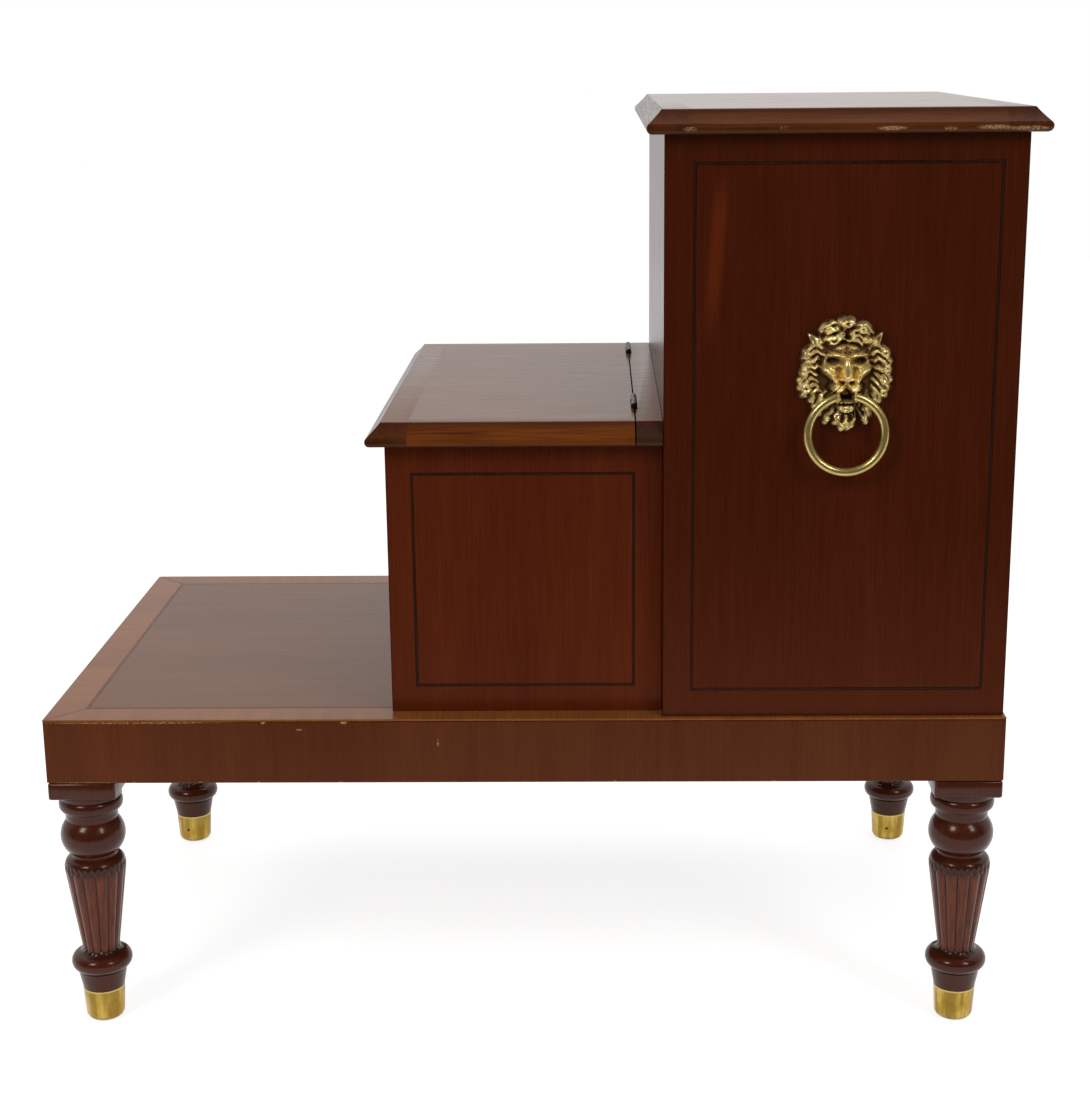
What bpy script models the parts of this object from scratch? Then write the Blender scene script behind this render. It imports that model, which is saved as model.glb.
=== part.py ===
"""Three-tread library steps in mahogany, with two lidded boxes and lion-mask ring handles.

Metres, +Z up. The steps are climbed towards +X, so the photographed side (-Y) is the right side
and the low tread is the front. The origin is on the floor under the middle of the bounding box.
"""

import math

import bmesh
import bpy
from mathutils import Matrix, Vector

# Whole object
BASE_LENGTH = 0.678
BASE_WIDTH = 0.387
BASE_TOP = 0.2400
MIDDLE_TOP = 0.4497
TALL_TOP = 0.6575
SEAM = 0.0003  # left between pieces that touch
OVERRUN = 0.004  # how far a cutter runs past what it cuts

# Base frame
APRON_HEIGHT = 0.0475
APRON_THICKNESS = 0.018
PLATFORM_THICKNESS = 0.015
BAND_WIDTH = 0.025
VENEER = 0.0015
STRING_WIDTH = 0.0013
STRING_DEPTH = 0.0011

# Legs
LEG_BLOCK = 0.048
LEG_BLOCK_DROP = 0.0132
LEG_BLOCK_ROUND = 0.0014
LEG_POST_SETBACK = 0.004
LEG_COLLAR_RADIUS = 0.0221
LEG_COLLAR_BOTTOM = 0.1750
LEG_RING_RADIUS = 0.0227
LEG_RING_BOTTOM = 0.1644
LEG_NECK_RADIUS = 0.0182
LEG_BALL_TOP = 0.1599
LEG_BALL_RADIUS = 0.0231
LEG_BALL_BOTTOM = 0.1343
LEG_WAIST_RADIUS = 0.0169
LEG_WAIST_BOTTOM = 0.1318
LEG_BAND_RADIUS = 0.0218
LEG_BAND_TOP = 0.1225
LEG_BAND_BOTTOM = 0.1188
REED_TOP_RADIUS = 0.0214
REED_FOOT_RADIUS = 0.0137
REED_FOOT = 0.0546
REED_DEPTH = 0.0017
REED_COUNT = 14
REED_FLANK_share = 0.22
LEG_KNOB_TOP = 0.0546
LEG_KNOB_ROOT = 0.0147
LEG_KNOB_RADIUS = 0.0217
LEG_KNOB_BOTTOM = 0.0385
LEG_CONE_RADIUS = 0.0163
LEG_CONE_MIDDLE = 0.0315
LEG_CONE_MIDDLE_RADIUS = 0.0154
LEG_TURN_STEPS = 20
FERRULE_HEIGHT = 0.0250
FERRULE_TOP_RADIUS = 0.0147
FERRULE_FOOT_RADIUS = 0.0131
FERRULE_FOOT_ROUND = 0.0048
FERRULE_WALL = 0.0011

# Boxes
CASE_WALL = 0.012
CASE_FLOOR = 0.009
FIRST_TREAD = 0.246
TALL_LENGTH = 0.239
TALL_REAR_INSET = 0.0017
TALL_SIDE_INSET = 0.0045
MIDDLE_SIDE_INSET = 0.0175
TALL_STRING_FRONT = 0.0197  # stringing, from the panel's front, rear, bottom and top edges
TALL_STRING_REAR = 0.0161
TALL_STRING_BOTTOM = 0.0190
TALL_STRING_TOP = 0.0180
MIDDLE_STRING_FRONT = 0.0176
MIDDLE_STRING_REAR = 0.0190
MIDDLE_STRING_BOTTOM = 0.0184
MIDDLE_STRING_TOP = 0.0203

# Lid boards
LID_THICKNESS = 0.0162
MOULD_REACH = 0.0100
MOULD_CURVE_X = 0.0018
MOULD_CURVE_Z = 0.0028
MOULD_BEAD_RADIUS = 0.0040
MOULD_BEAD_START = math.radians(52)
MOULD_COVE_STEPS = 5
MOULD_BEAD_STEPS = 6
TALL_LID_OVERHANG = 0.002
MIDDLE_LID_FRONT_OVERHANG = 0.002
MIDDLE_LID_SIDE_OVERHANG = 0.0048
LID_END_WIDTH = 0.0185  # end rail, measured from the top arris
LID_EDGE_WIDTH = 0.0125  # side edging, measured from the top arris
HINGE_STRIP_WIDTH = 0.0178
LID_GAP = 0.0010

# Butt hinges
HINGE_LENGTH = 0.040
HINGE_BARREL_RADIUS = 0.0021
HINGE_PIN_RADIUS = 0.0010
HINGE_BORE_RADIUS = 0.0013
HINGE_LEAF_THICKNESS = 0.0011
HINGE_LEAF_WIDTH = 0.0125
HINGE_KNUCKLES = 5
HINGE_ROUND_STEPS = 8
HINGE_RIGHT_INSET = 0.0445  # photographed side: lid arris to the near end of the barrel
HINGE_LEFT_INSET = 0.0250
REAR_HINGE_INSET = 0.045
REAR_BARREL_CLEAR = 0.0004

# Lion masks and rings
MASK_HEIGHT = 0.0796
MASK_WIDTH = 0.0660
MASK_CENTRE = 0.4830
MASK_DEPTH = 0.0122
MASK_RINGS = 13
MASK_SPOKES = 40
MASK_RIM_share = 0.30
RING_PIVOT = 0.4693
RING_STAND_OFF = 0.0112
RING_RADIUS = 0.0260
RING_WIRE = 0.0025
RING_POINTS = 30
RING_BORE_CLEAR = 0.0009
JAW_WIDTH = 0.0118
JAW_MOUTH_WIDTH = 0.0076
JAW_TOP = 0.4740
JAW_BOTTOM = 0.4558
JAW_MOUTH_BOTTOM = 0.4640
JAW_FRONT = 0.0162
JAW_BACK = 0.0020
JAW_MOUTH_BACK = 0.0064
JAW_ROUND = 0.0016
BOLT_RADIUS = 0.0020
BOLT_HEAD_RADIUS = 0.0045
BOLT_HEAD_HEIGHT = 0.0030
BOLT_CLEAR = 0.0003
ROUND_STEPS = 12

# Relief of the mask: across and up as shares of half its width and height, then its two spreads
# and its height as a share of the depth. Rows off the middle line are repeated on the other side.
MASK_FORMS_share = (
    (0.00, 0.30, 0.42, 0.34, 0.48),
    (0.00, -0.10, 0.30, 0.24, 0.42),
    (0.00, 0.10, 0.075, 0.26, 0.34),
    (0.00, -0.115, 0.12, 0.055, 0.30),
    (0.13, -0.165, 0.115, 0.075, 0.36),
    (0.23, 0.33, 0.17, 0.06, 0.26),
    (0.25, 0.205, 0.095, 0.055, -0.20),
    (0.33, 0.04, 0.12, 0.09, 0.16),
    (0.00, 0.50, 0.16, 0.10, 0.16),
    (0.00, 0.88, 0.17, 0.11, 0.36),
    (0.33, 0.78, 0.17, 0.12, 0.32),
    (0.58, 0.62, 0.13, 0.09, 0.22),
    (0.70, 0.64, 0.07, 0.09, 0.20),
    (0.82, 0.36, 0.13, 0.12, 0.34),
    (0.86, 0.10, 0.13, 0.12, 0.36),
    (0.87, -0.14, 0.13, 0.11, 0.34),
    (0.70, -0.34, 0.14, 0.10, 0.26),
    (0.60, 0.22, 0.11, 0.10, 0.22),
    (0.62, -0.06, 0.10, 0.11, 0.20),
    (0.42, 0.58, 0.14, 0.09, 0.20),
    (0.42, -0.70, 0.12, 0.08, 0.24),
    (0.14, -0.88, 0.09, 0.07, 0.24),
    (0.20, -0.66, 0.12, 0.08, 0.16),
)
# Outline of the mask: distance from its middle at equal angles from the top, as shares of half
# its height.
MASK_OUTLINE_share = (1.00, 0.93, 0.92, 0.90, 0.82, 0.83, 0.82, 0.86, 0.80, 0.71, 0.78, 0.84, 0.98)

# Where the pieces stand, from the values above
TOTAL_LENGTH = BASE_LENGTH - TALL_REAR_INSET + TALL_LID_OVERHANG + MOULD_REACH
FRONT = -TOTAL_LENGTH / 2
REAR = FRONT + BASE_LENGTH
SIDE = BASE_WIDTH / 2
APRON_BOTTOM = BASE_TOP - APRON_HEIGHT
VENEER_BOTTOM = BASE_TOP - VENEER
TALL_REAR = REAR - TALL_REAR_INSET
TALL_FRONT = TALL_REAR - TALL_LENGTH
TALL_SIDE = SIDE - TALL_SIDE_INSET
MIDDLE_FRONT = FRONT + FIRST_TREAD
MIDDLE_SIDE = SIDE - MIDDLE_SIDE_INSET
CASE_BOTTOM = BASE_TOP + SEAM
TALL_CASE_TOP = TALL_TOP - LID_THICKNESS - SEAM
MIDDLE_CASE_TOP = MIDDLE_TOP - LID_THICKNESS - SEAM
LEG_TOP = APRON_BOTTOM - SEAM
BLOCK_BOTTOM = APRON_BOTTOM - LEG_BLOCK_DROP
HINGE_STRIP_FRONT = TALL_FRONT - SEAM - HINGE_STRIP_WIDTH
MIDDLE_LID_REAR = HINGE_STRIP_FRONT - LID_GAP
MIDDLE_AXIS_X = HINGE_STRIP_FRONT - LID_GAP / 2
MIDDLE_AXIS_Z = MIDDLE_TOP + HINGE_BARREL_RADIUS + SEAM
REAR_AXIS_X = TALL_REAR + HINGE_BARREL_RADIUS + REAR_BARREL_CLEAR
REAR_AXIS_Z = TALL_CASE_TOP + SEAM / 2


def clear_scene():
    for obj in list(bpy.data.objects):
        bpy.data.objects.remove(obj, do_unlink=True)
    for collection in list(bpy.data.collections):
        bpy.data.collections.remove(collection)


def new_collection(name):
    collection = bpy.data.collections.new(name)
    bpy.context.scene.collection.children.link(collection)
    return collection


clear_scene()
PARTS = new_collection("library_steps")
CUTTERS = new_collection("cutters")


def finish(name, colour, roughness, metallic=0.0):
    material = bpy.data.materials.new(name)
    material.use_nodes = True
    shader = material.node_tree.nodes["Principled BSDF"]
    shader.inputs["Base Color"].default_value = (*colour, 1.0)
    shader.inputs["Roughness"].default_value = roughness
    shader.inputs["Metallic"].default_value = metallic
    return material


MAHOGANY = finish("mahogany", (0.080, 0.019, 0.007), 0.25)
MAHOGANY_DARK = finish("mahogany_turned", (0.030, 0.008, 0.004), 0.18)
MAHOGANY_TREAD = finish("mahogany_tread", (0.110, 0.034, 0.015), 0.22)
LIPPING = finish("lipping", (0.120, 0.035, 0.010), 0.22)
STRINGING = finish("stringing", (0.010, 0.005, 0.004), 0.30)
PLAIN_WOOD = finish("carcass_wood", (0.250, 0.130, 0.060), 0.60)
BRASS = finish("brass", (0.480, 0.330, 0.110), 0.28, 1.0)
BRONZED = finish("bronzed_steel", (0.030, 0.022, 0.016), 0.40, 1.0)


# Making objects


def empty(name, location):
    anchor = bpy.data.objects.new(name, None)
    anchor.location = location
    PARTS.objects.link(anchor)
    return anchor


ROOT = empty("library_steps", (0, 0, 0))


def add(name, bm, material=None, location=(0, 0, 0), parent=None, cutter=False):
    """An object from a bmesh, put in its collection; a cutter is kept out of renders."""
    mesh = bpy.data.meshes.new(name)
    bm.to_mesh(mesh)
    bm.free()
    obj = bpy.data.objects.new(name, mesh)
    obj.location = location
    if cutter:
        CUTTERS.objects.link(obj)
        obj.hide_render = True
        obj.display_type = "WIRE"
        return obj
    PARTS.objects.link(obj)
    mesh.materials.append(material)
    hang(obj, parent or ROOT)
    return obj


def hang(obj, anchor):
    """Parents an object that was placed in the world, leaving it where it is."""
    obj.parent = anchor
    obj.location = obj.location - anchor.location


def box_mesh(low, high):
    """A box about its own middle."""
    bm = bmesh.new()
    bmesh.ops.create_cube(bm, size=1)
    bmesh.ops.scale(bm, vec=Vector(high) - Vector(low), verts=bm.verts)
    return bm


def middle(low, high):
    return (Vector(low) + Vector(high)) / 2


def board(name, low, high, material, parent=None):
    return add(name, box_mesh(low, high), material, middle(low, high), parent)


def cutter_box(name, low, high):
    return add(name, box_mesh(low, high), location=middle(low, high), cutter=True)


def boolean(obj, operation, other):
    modifier = obj.modifiers.new(f"{operation.lower()}_{other.name}", "BOOLEAN")
    modifier.operation = operation
    modifier.solver = "EXACT"
    modifier.object = other


def cut(obj, other):
    boolean(obj, "DIFFERENCE", other)


def join(obj, other):
    boolean(obj, "UNION", other)


def bevel(obj, width, segments):
    modifier = obj.modifiers.new("round", "BEVEL")
    modifier.width = width
    modifier.segments = segments
    modifier.limit_method = "ANGLE"


def smooth(obj):
    for polygon in obj.data.polygons:
        polygon.use_smooth = True
    return obj


def turned(name, profile, steps, material=None, location=(0, 0, 0), parent=None, cutter=False):
    """A turned piece: the profile holds (radius, height) from the top down its outer side."""
    bm = bmesh.new()
    points = [bm.verts.new((radius, 0, height)) for radius, height in profile]
    for first, second in zip(points, points[1:]):
        bm.edges.new((first, second))
    obj = add(name, bm, material, location, parent, cutter)
    screw = obj.modifiers.new("turn", "SCREW")
    screw.steps = steps
    screw.render_steps = steps
    screw.use_merge_vertices = True
    screw.merge_threshold = 0.00001
    screw.use_smooth_shade = True
    return obj


def swell(root, radius, top, bottom, steps):
    """Points of a half-round bead of a turned profile, from its top to its bottom."""
    centre = (top + bottom) / 2
    rise = (top - bottom) / 2
    points = []
    for index in range(steps + 1):
        angle = math.pi / 2 - math.pi * index / steps
        reach = root + (radius - root) * math.cos(angle)
        points.append((reach, centre + rise * math.sin(angle)))
    return points


def rod(name, radius, start, end, steps, cutter=True, material=None, parent=None):
    """A round bar between two points on one line along X or Y."""
    start, end = Vector(start), Vector(end)
    bm = bmesh.new()
    bmesh.ops.create_cone(
        bm,
        cap_ends=True,
        segments=steps,
        radius1=radius,
        radius2=radius,
        depth=(end - start).length,
    )
    turn = (end - start).to_track_quat("Z", "Y").to_matrix().to_4x4()
    bmesh.ops.transform(bm, matrix=turn, verts=bm.verts)
    return add(name, bm, material, (start + end) / 2, parent, cutter)


# Mitred boards and stringing


def mitre(obj, along, inward, amount, ends):
    """Draws in the inner edges of a board, so that its ends meet its neighbours at 45 degrees."""
    axis = "xyz".index(along)
    across = "xyz".index(inward[1])
    sign = 1 if inward[0] == "+" else -1
    for vertex in obj.data.vertices:
        end = 1 if vertex.co[axis] > 0 else -1
        if vertex.co[across] * sign > 0 and end in ends:
            vertex.co[axis] -= end * amount


def wall_ring(prefix, low, high, thickness, bottom, top, material, open_rear=False):
    """Four boards on edge, mitred at the corners; without the rear one the sides end square."""
    (x0, y0), (x1, y1) = low, high
    inset = SEAM + SEAM / 2
    ends = (-1,) if open_rear else (-1, 1)
    rear_end = x1 if open_rear else x1 - inset
    boards = {}
    for side, outer, inner, inward in (
        ("right", y0, y0 + thickness, "+y"),
        ("left", y1, y1 - thickness, "-y"),
    ):
        near, far = sorted((outer, inner))
        name = f"{prefix}_{side}"
        boards[side] = board(name, (x0 + inset, near, bottom), (rear_end, far, top), material)
        mitre(boards[side], "x", inward, thickness, ends)
    boards["front"] = board(
        f"{prefix}_front", (x0, y0, bottom), (x0 + thickness, y1, top), material
    )
    mitre(boards["front"], "y", "+x", thickness, (-1, 1))
    if not open_rear:
        boards["rear"] = board(
            f"{prefix}_rear", (x1 - thickness, y0, bottom), (x1, y1, top), material
        )
        mitre(boards["rear"], "y", "-x", thickness, (-1, 1))
    return boards


def string_loop(name, low, high, width, face, depth, normal, cutter=False):
    """A thin square frame let into a face; the face's normal is an axis with its sign."""
    axis = "xyz".index(normal[1])
    sign = 1 if normal[0] == "+" else -1
    outer = sorted((face, face - sign * depth))
    others = [index for index in range(3) if index != axis]
    corners = []
    for grow in (0, width):
        near = [0, 0, 0]
        far = [0, 0, 0]
        for slot, index in enumerate(others):
            near[index] = low[slot] + grow
            far[index] = high[slot] - grow
        near[axis], far[axis] = outer
        corners.append((near, far))
    (near, far), (hole_near, hole_far) = corners
    hole_near[axis] -= OVERRUN
    hole_far[axis] += OVERRUN
    hole = cutter_box(f"{name}_inside", hole_near, hole_far)
    if cutter:
        frame = cutter_box(name, near, far)
    else:
        frame = board(name, near, far, STRINGING)
    cut(frame, hole)
    return frame


def inlay(panel, name, low, high, face, normal):
    """Stringing in a groove of the panel, with a seam all round it."""
    sign = 1 if normal[0] == "+" else -1
    wide_low = [value - SEAM for value in low]
    wide_high = [value + SEAM for value in high]
    groove_depth = STRING_DEPTH + SEAM + OVERRUN
    groove = string_loop(
        f"{name}_groove",
        wide_low,
        wide_high,
        STRING_WIDTH + SEAM + SEAM,
        face + sign * OVERRUN,
        groove_depth,
        normal,
        cutter=True,
    )
    cut(panel, groove)
    string_loop(name, low, high, STRING_WIDTH, face, STRING_DEPTH, normal)


# Moulded lid boards


def mould_profile():
    """(reach, drop) from the top arris: a hollow slope that runs into a half-round bead."""
    bead_x = MOULD_REACH - MOULD_BEAD_RADIUS
    bead_z = LID_THICKNESS - MOULD_BEAD_RADIUS
    start_x = bead_x + MOULD_BEAD_RADIUS * math.cos(MOULD_BEAD_START)
    start_z = bead_z - MOULD_BEAD_RADIUS * math.sin(MOULD_BEAD_START)
    points = []
    for index in range(MOULD_COVE_STEPS):
        t = index / MOULD_COVE_STEPS
        bend = 2 * t * (1 - t)
        reach = bend * MOULD_CURVE_X + t * t * start_x
        drop = bend * MOULD_CURVE_Z + t * t * start_z
        points.append((reach, drop))
    sweep = MOULD_BEAD_START + math.pi / 2
    for index in range(MOULD_BEAD_STEPS + 1):
        angle = MOULD_BEAD_START - sweep * index / MOULD_BEAD_STEPS
        reach = bead_x + MOULD_BEAD_RADIUS * math.cos(angle)
        drop = bead_z - MOULD_BEAD_RADIUS * math.sin(angle)
        points.append((reach, drop))
    return points


def moulded_mesh(low, high, top):
    """A board whose four edges carry the moulding, lofted from ring to ring."""
    (x0, y0), (x1, y1) = low, high
    bm = bmesh.new()
    rings = []
    for reach, drop in mould_profile():
        corners = (
            (x0 - reach, y0 - reach),
            (x1 + reach, y0 - reach),
            (x1 + reach, y1 + reach),
            (x0 - reach, y1 + reach),
        )
        rings.append([bm.verts.new((x, y, top - drop)) for x, y in corners])
    bm.faces.new(rings[0])
    bm.faces.new(reversed(rings[-1]))
    for upper, lower in zip(rings, rings[1:]):
        for index in range(4):
            after = (index + 1) % 4
            bm.faces.new((upper[after], upper[index], lower[index], lower[after]))
    bmesh.ops.recalc_face_normals(bm, faces=bm.faces)
    return bm


def lid_piece(name, slab, low, high, material, anchor):
    """The part of a moulded board that lies between two upright planes each way."""
    bm = moulded_mesh(*slab)
    top = slab[2]
    piece = add(name, bm, material)
    hang(piece, anchor)
    piece.location = -anchor.location
    x0, y0 = low
    x1, y1 = high
    window = cutter_box(
        f"{name}_window",
        (x0, y0, top - LID_THICKNESS - OVERRUN),
        (x1, y1, top + OVERRUN),
    )
    boolean(piece, "INTERSECT", window)
    return piece


# Base


def build_platform():
    walls = wall_ring(
        "apron",
        (FRONT, -SIDE),
        (REAR, SIDE),
        APRON_THICKNESS,
        APRON_BOTTOM,
        VENEER_BOTTOM - SEAM,
        MAHOGANY,
    )
    inner = APRON_THICKNESS + SEAM
    deck = board(
        "platform_board",
        (FRONT + inner, -SIDE + inner, VENEER_BOTTOM - SEAM - PLATFORM_THICKNESS),
        (REAR - inner, SIDE - inner, VENEER_BOTTOM - SEAM),
        MAHOGANY_TREAD,
    )
    edge = BAND_WIDTH + STRING_WIDTH + SEAM + SEAM
    field = cutter_box(
        "platform_field",
        (FRONT + edge, -SIDE + edge, VENEER_BOTTOM - PLATFORM_THICKNESS / 2),
        (REAR - edge, SIDE - edge, BASE_TOP),
    )
    join(deck, field)
    bands = (
        ("crossband_right", "x", (FRONT, -SIDE), (REAR, -SIDE + BAND_WIDTH), "+y"),
        ("crossband_left", "x", (FRONT, SIDE - BAND_WIDTH), (REAR, SIDE), "-y"),
        ("crossband_front", "y", (FRONT, -SIDE), (FRONT + BAND_WIDTH, SIDE), "+x"),
        ("crossband_rear", "y", (REAR - BAND_WIDTH, -SIDE), (REAR, SIDE), "-x"),
    )
    inset = SEAM + SEAM / 2
    for name, along, (x0, y0), (x1, y1), inward in bands:
        if along == "x":
            x0 += inset
            x1 -= inset
        strip = board(name, (x0, y0, VENEER_BOTTOM), (x1, y1, BASE_TOP), MAHOGANY_TREAD)
        mitre(strip, along, inward, BAND_WIDTH, (-1, 1))
    start = BAND_WIDTH + SEAM
    string_loop(
        "platform_stringing",
        (FRONT + start, -SIDE + start),
        (REAR - start, SIDE - start),
        STRING_WIDTH,
        BASE_TOP,
        VENEER,
        "+z",
    )
    return walls


def leg_profile():
    """The turned leg from inside its block down to the toe that the ferrule covers."""
    toe = FERRULE_TOP_RADIUS - FERRULE_WALL - SEAM
    toe_foot = FERRULE_FOOT_RADIUS - FERRULE_WALL - SEAM
    reed_core = REED_DEPTH + SEAM
    profile = [(0, BLOCK_BOTTOM + LEG_BLOCK_DROP / 2)]
    profile.append((LEG_COLLAR_RADIUS, BLOCK_BOTTOM + LEG_BLOCK_DROP / 2))
    profile.append((LEG_COLLAR_RADIUS, LEG_COLLAR_BOTTOM))
    profile += swell(LEG_NECK_RADIUS, LEG_RING_RADIUS, LEG_COLLAR_BOTTOM, LEG_RING_BOTTOM, 4)
    profile += swell(LEG_NECK_RADIUS, LEG_BALL_RADIUS, LEG_BALL_TOP, LEG_BALL_BOTTOM, 7)
    profile.append((LEG_WAIST_RADIUS, LEG_WAIST_BOTTOM))
    profile.append((LEG_BAND_RADIUS, LEG_BAND_TOP))
    profile.append((LEG_BAND_RADIUS, LEG_BAND_BOTTOM))
    profile.append((REED_TOP_RADIUS - reed_core, LEG_BAND_BOTTOM))
    profile.append((REED_FOOT_RADIUS - reed_core, LEG_KNOB_TOP))
    profile += swell(LEG_KNOB_ROOT, LEG_KNOB_RADIUS, LEG_KNOB_TOP, LEG_KNOB_BOTTOM, 5)
    profile.append((LEG_CONE_RADIUS, LEG_KNOB_BOTTOM))
    profile.append((LEG_CONE_MIDDLE_RADIUS, LEG_CONE_MIDDLE))
    profile.append((FERRULE_TOP_RADIUS, FERRULE_HEIGHT + SEAM))
    profile.append((toe, FERRULE_HEIGHT + SEAM))
    profile.append((toe_foot, FERRULE_FOOT_ROUND))
    profile.append((toe_foot - FERRULE_WALL, FERRULE_WALL + SEAM))
    profile.append((0, FERRULE_WALL + SEAM))
    return profile


def reeds(name, x, y):
    """The tapering bundle of reeds: a cone whose sides are drawn in between the reeds."""
    top = LEG_BAND_BOTTOM + (LEG_BAND_TOP - LEG_BAND_BOTTOM) / 2
    bottom = REED_FOOT - REED_DEPTH
    sides = 4
    bm = bmesh.new()
    bmesh.ops.create_cone(
        bm,
        cap_ends=True,
        segments=REED_COUNT * sides,
        radius1=REED_FOOT_RADIUS,
        radius2=REED_TOP_RADIUS,
        depth=top - bottom,
    )
    draw_in = (REED_DEPTH, REED_DEPTH * REED_FLANK_share, 0, REED_DEPTH * REED_FLANK_share)
    step = 2 * math.pi / (REED_COUNT * sides)
    for vertex in bm.verts:
        angle = math.atan2(vertex.co.y, vertex.co.x)
        slot = round(angle / step) % sides
        radius = math.hypot(vertex.co.x, vertex.co.y)
        share = (radius - draw_in[slot]) / radius
        vertex.co.x *= share
        vertex.co.y *= share
    return add(name, bm, location=(x, y, (top + bottom) / 2), cutter=True)


def build_leg(name, x, y, end, side):
    """A leg: square block, post up into the corner of the frame, turned and reeded shaft."""
    leg = turned(f"leg_{name}", leg_profile(), LEG_TURN_STEPS, MAHOGANY_DARK, (x, y, 0))
    join(leg, reeds(f"reeds_{name}", x, y))
    reach = LEG_BLOCK / 2
    block = cutter_box(
        f"block_{name}",
        (x - reach, y - reach, BLOCK_BOTTOM),
        (x + reach, y + reach, LEG_TOP),
    )
    bevel(block, LEG_BLOCK_ROUND, 2)
    join(leg, block)
    inner = APRON_THICKNESS + SEAM
    corner_x = x + end * (reach - inner)
    corner_y = y + side * (reach - inner)
    inner_x = x - end * (reach - LEG_POST_SETBACK)
    inner_y = y - side * (reach - LEG_POST_SETBACK)
    post = cutter_box(
        f"post_{name}",
        (min(corner_x, inner_x), min(corner_y, inner_y), BLOCK_BOTTOM + LEG_BLOCK_DROP / 2),
        (
            max(corner_x, inner_x),
            max(corner_y, inner_y),
            VENEER_BOTTOM - SEAM - PLATFORM_THICKNESS - SEAM,
        ),
    )
    join(leg, post)


def ferrule_profile():
    """A cup: up the inside of its wall, over the rim, down the outside and under the foot."""
    inside = FERRULE_TOP_RADIUS - FERRULE_WALL
    inside_foot = FERRULE_FOOT_RADIUS - FERRULE_WALL
    profile = [(0, FERRULE_WALL), (inside_foot - FERRULE_WALL, FERRULE_WALL)]
    profile.append((inside_foot, FERRULE_FOOT_ROUND))
    profile.append((inside, FERRULE_HEIGHT))
    profile.append((FERRULE_TOP_RADIUS, FERRULE_HEIGHT))
    centre = FERRULE_FOOT_RADIUS - FERRULE_FOOT_ROUND
    steps = 3
    for index in range(steps + 1):
        angle = math.pi / 2 * index / steps
        reach = centre + FERRULE_FOOT_ROUND * math.cos(angle)
        profile.append((reach, FERRULE_FOOT_ROUND * (1 - math.sin(angle))))
    profile.append((0, 0))
    return profile


def build_legs():
    inset = LEG_BLOCK / 2
    for end_name, end, x in (("front", -1, FRONT + inset), ("rear", 1, REAR - inset)):
        for side_name, side in (("right", -1), ("left", 1)):
            y = side * (SIDE - inset)
            name = f"{end_name}_{side_name}"
            build_leg(name, x, y, end, side)
            turned(f"ferrule_{name}", ferrule_profile(), LEG_TURN_STEPS, BRASS, (x, y, 0))


# Boxes


def case_floor(name, x0, x1, side):
    inner = CASE_WALL + SEAM
    return board(
        name,
        (x0, -side + inner, CASE_BOTTOM),
        (x1, side - inner, CASE_BOTTOM + CASE_FLOOR),
        PLAIN_WOOD,
    )


def build_tall_box():
    walls = wall_ring(
        "tall_box",
        (TALL_FRONT, -TALL_SIDE),
        (TALL_REAR, TALL_SIDE),
        CASE_WALL,
        CASE_BOTTOM,
        TALL_CASE_TOP,
        MAHOGANY,
    )
    inner = CASE_WALL + SEAM
    case_floor("tall_box_floor", TALL_FRONT + inner, TALL_REAR - inner, TALL_SIDE)
    low = (TALL_FRONT + TALL_STRING_FRONT, CASE_BOTTOM + TALL_STRING_BOTTOM)
    high = (TALL_REAR - TALL_STRING_REAR, TALL_CASE_TOP - TALL_STRING_TOP)
    inlay(walls["right"], "tall_stringing_right", low, high, -TALL_SIDE, "-y")
    inlay(walls["left"], "tall_stringing_left", low, high, TALL_SIDE, "+y")
    return walls


def build_middle_box():
    rear = TALL_FRONT - SEAM
    walls = wall_ring(
        "middle_box",
        (MIDDLE_FRONT, -MIDDLE_SIDE),
        (rear, MIDDLE_SIDE),
        CASE_WALL,
        CASE_BOTTOM,
        MIDDLE_CASE_TOP,
        MAHOGANY,
        open_rear=True,
    )
    case_floor("middle_box_floor", MIDDLE_FRONT + CASE_WALL + SEAM, rear, MIDDLE_SIDE)
    low = (MIDDLE_FRONT + MIDDLE_STRING_FRONT, CASE_BOTTOM + MIDDLE_STRING_BOTTOM)
    high = (rear - MIDDLE_STRING_REAR, MIDDLE_CASE_TOP - MIDDLE_STRING_TOP)
    inlay(walls["right"], "middle_stringing_right", low, high, -MIDDLE_SIDE, "-y")
    inlay(walls["left"], "middle_stringing_left", low, high, MIDDLE_SIDE, "+y")
    return walls


# Lids


def build_middle_lid(anchor):
    """The hinged tread and the fixed strip between it and the tall box."""
    side = MIDDLE_SIDE + MIDDLE_LID_SIDE_OVERHANG
    front = MIDDLE_FRONT - MIDDLE_LID_FRONT_OVERHANG
    slab = ((front, -side), (TALL_FRONT + LID_THICKNESS, side), MIDDLE_TOP)
    far = side + MOULD_REACH + OVERRUN
    out = front - MOULD_REACH - OVERRUN
    rail = front + LID_END_WIDTH
    edge = side - LID_EDGE_WIDTH
    inner = edge - SEAM
    lid_piece("middle_lid_nosing", slab, (out, -far), (rail, far), LIPPING, anchor)
    start = rail + SEAM
    rear = MIDDLE_LID_REAR
    lid_piece("middle_lid_edge_right", slab, (start, -far), (rear, -edge), LIPPING, anchor)
    lid_piece("middle_lid_edge_left", slab, (start, edge), (rear, far), LIPPING, anchor)
    panel = lid_piece(
        "middle_lid_panel", slab, (start, -inner), (rear, inner), MAHOGANY_TREAD, anchor
    )
    strip = lid_piece(
        "middle_hinge_strip",
        slab,
        (HINGE_STRIP_FRONT, -far),
        (TALL_FRONT - SEAM, far),
        LIPPING,
        ROOT,
    )
    return panel, strip


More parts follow.
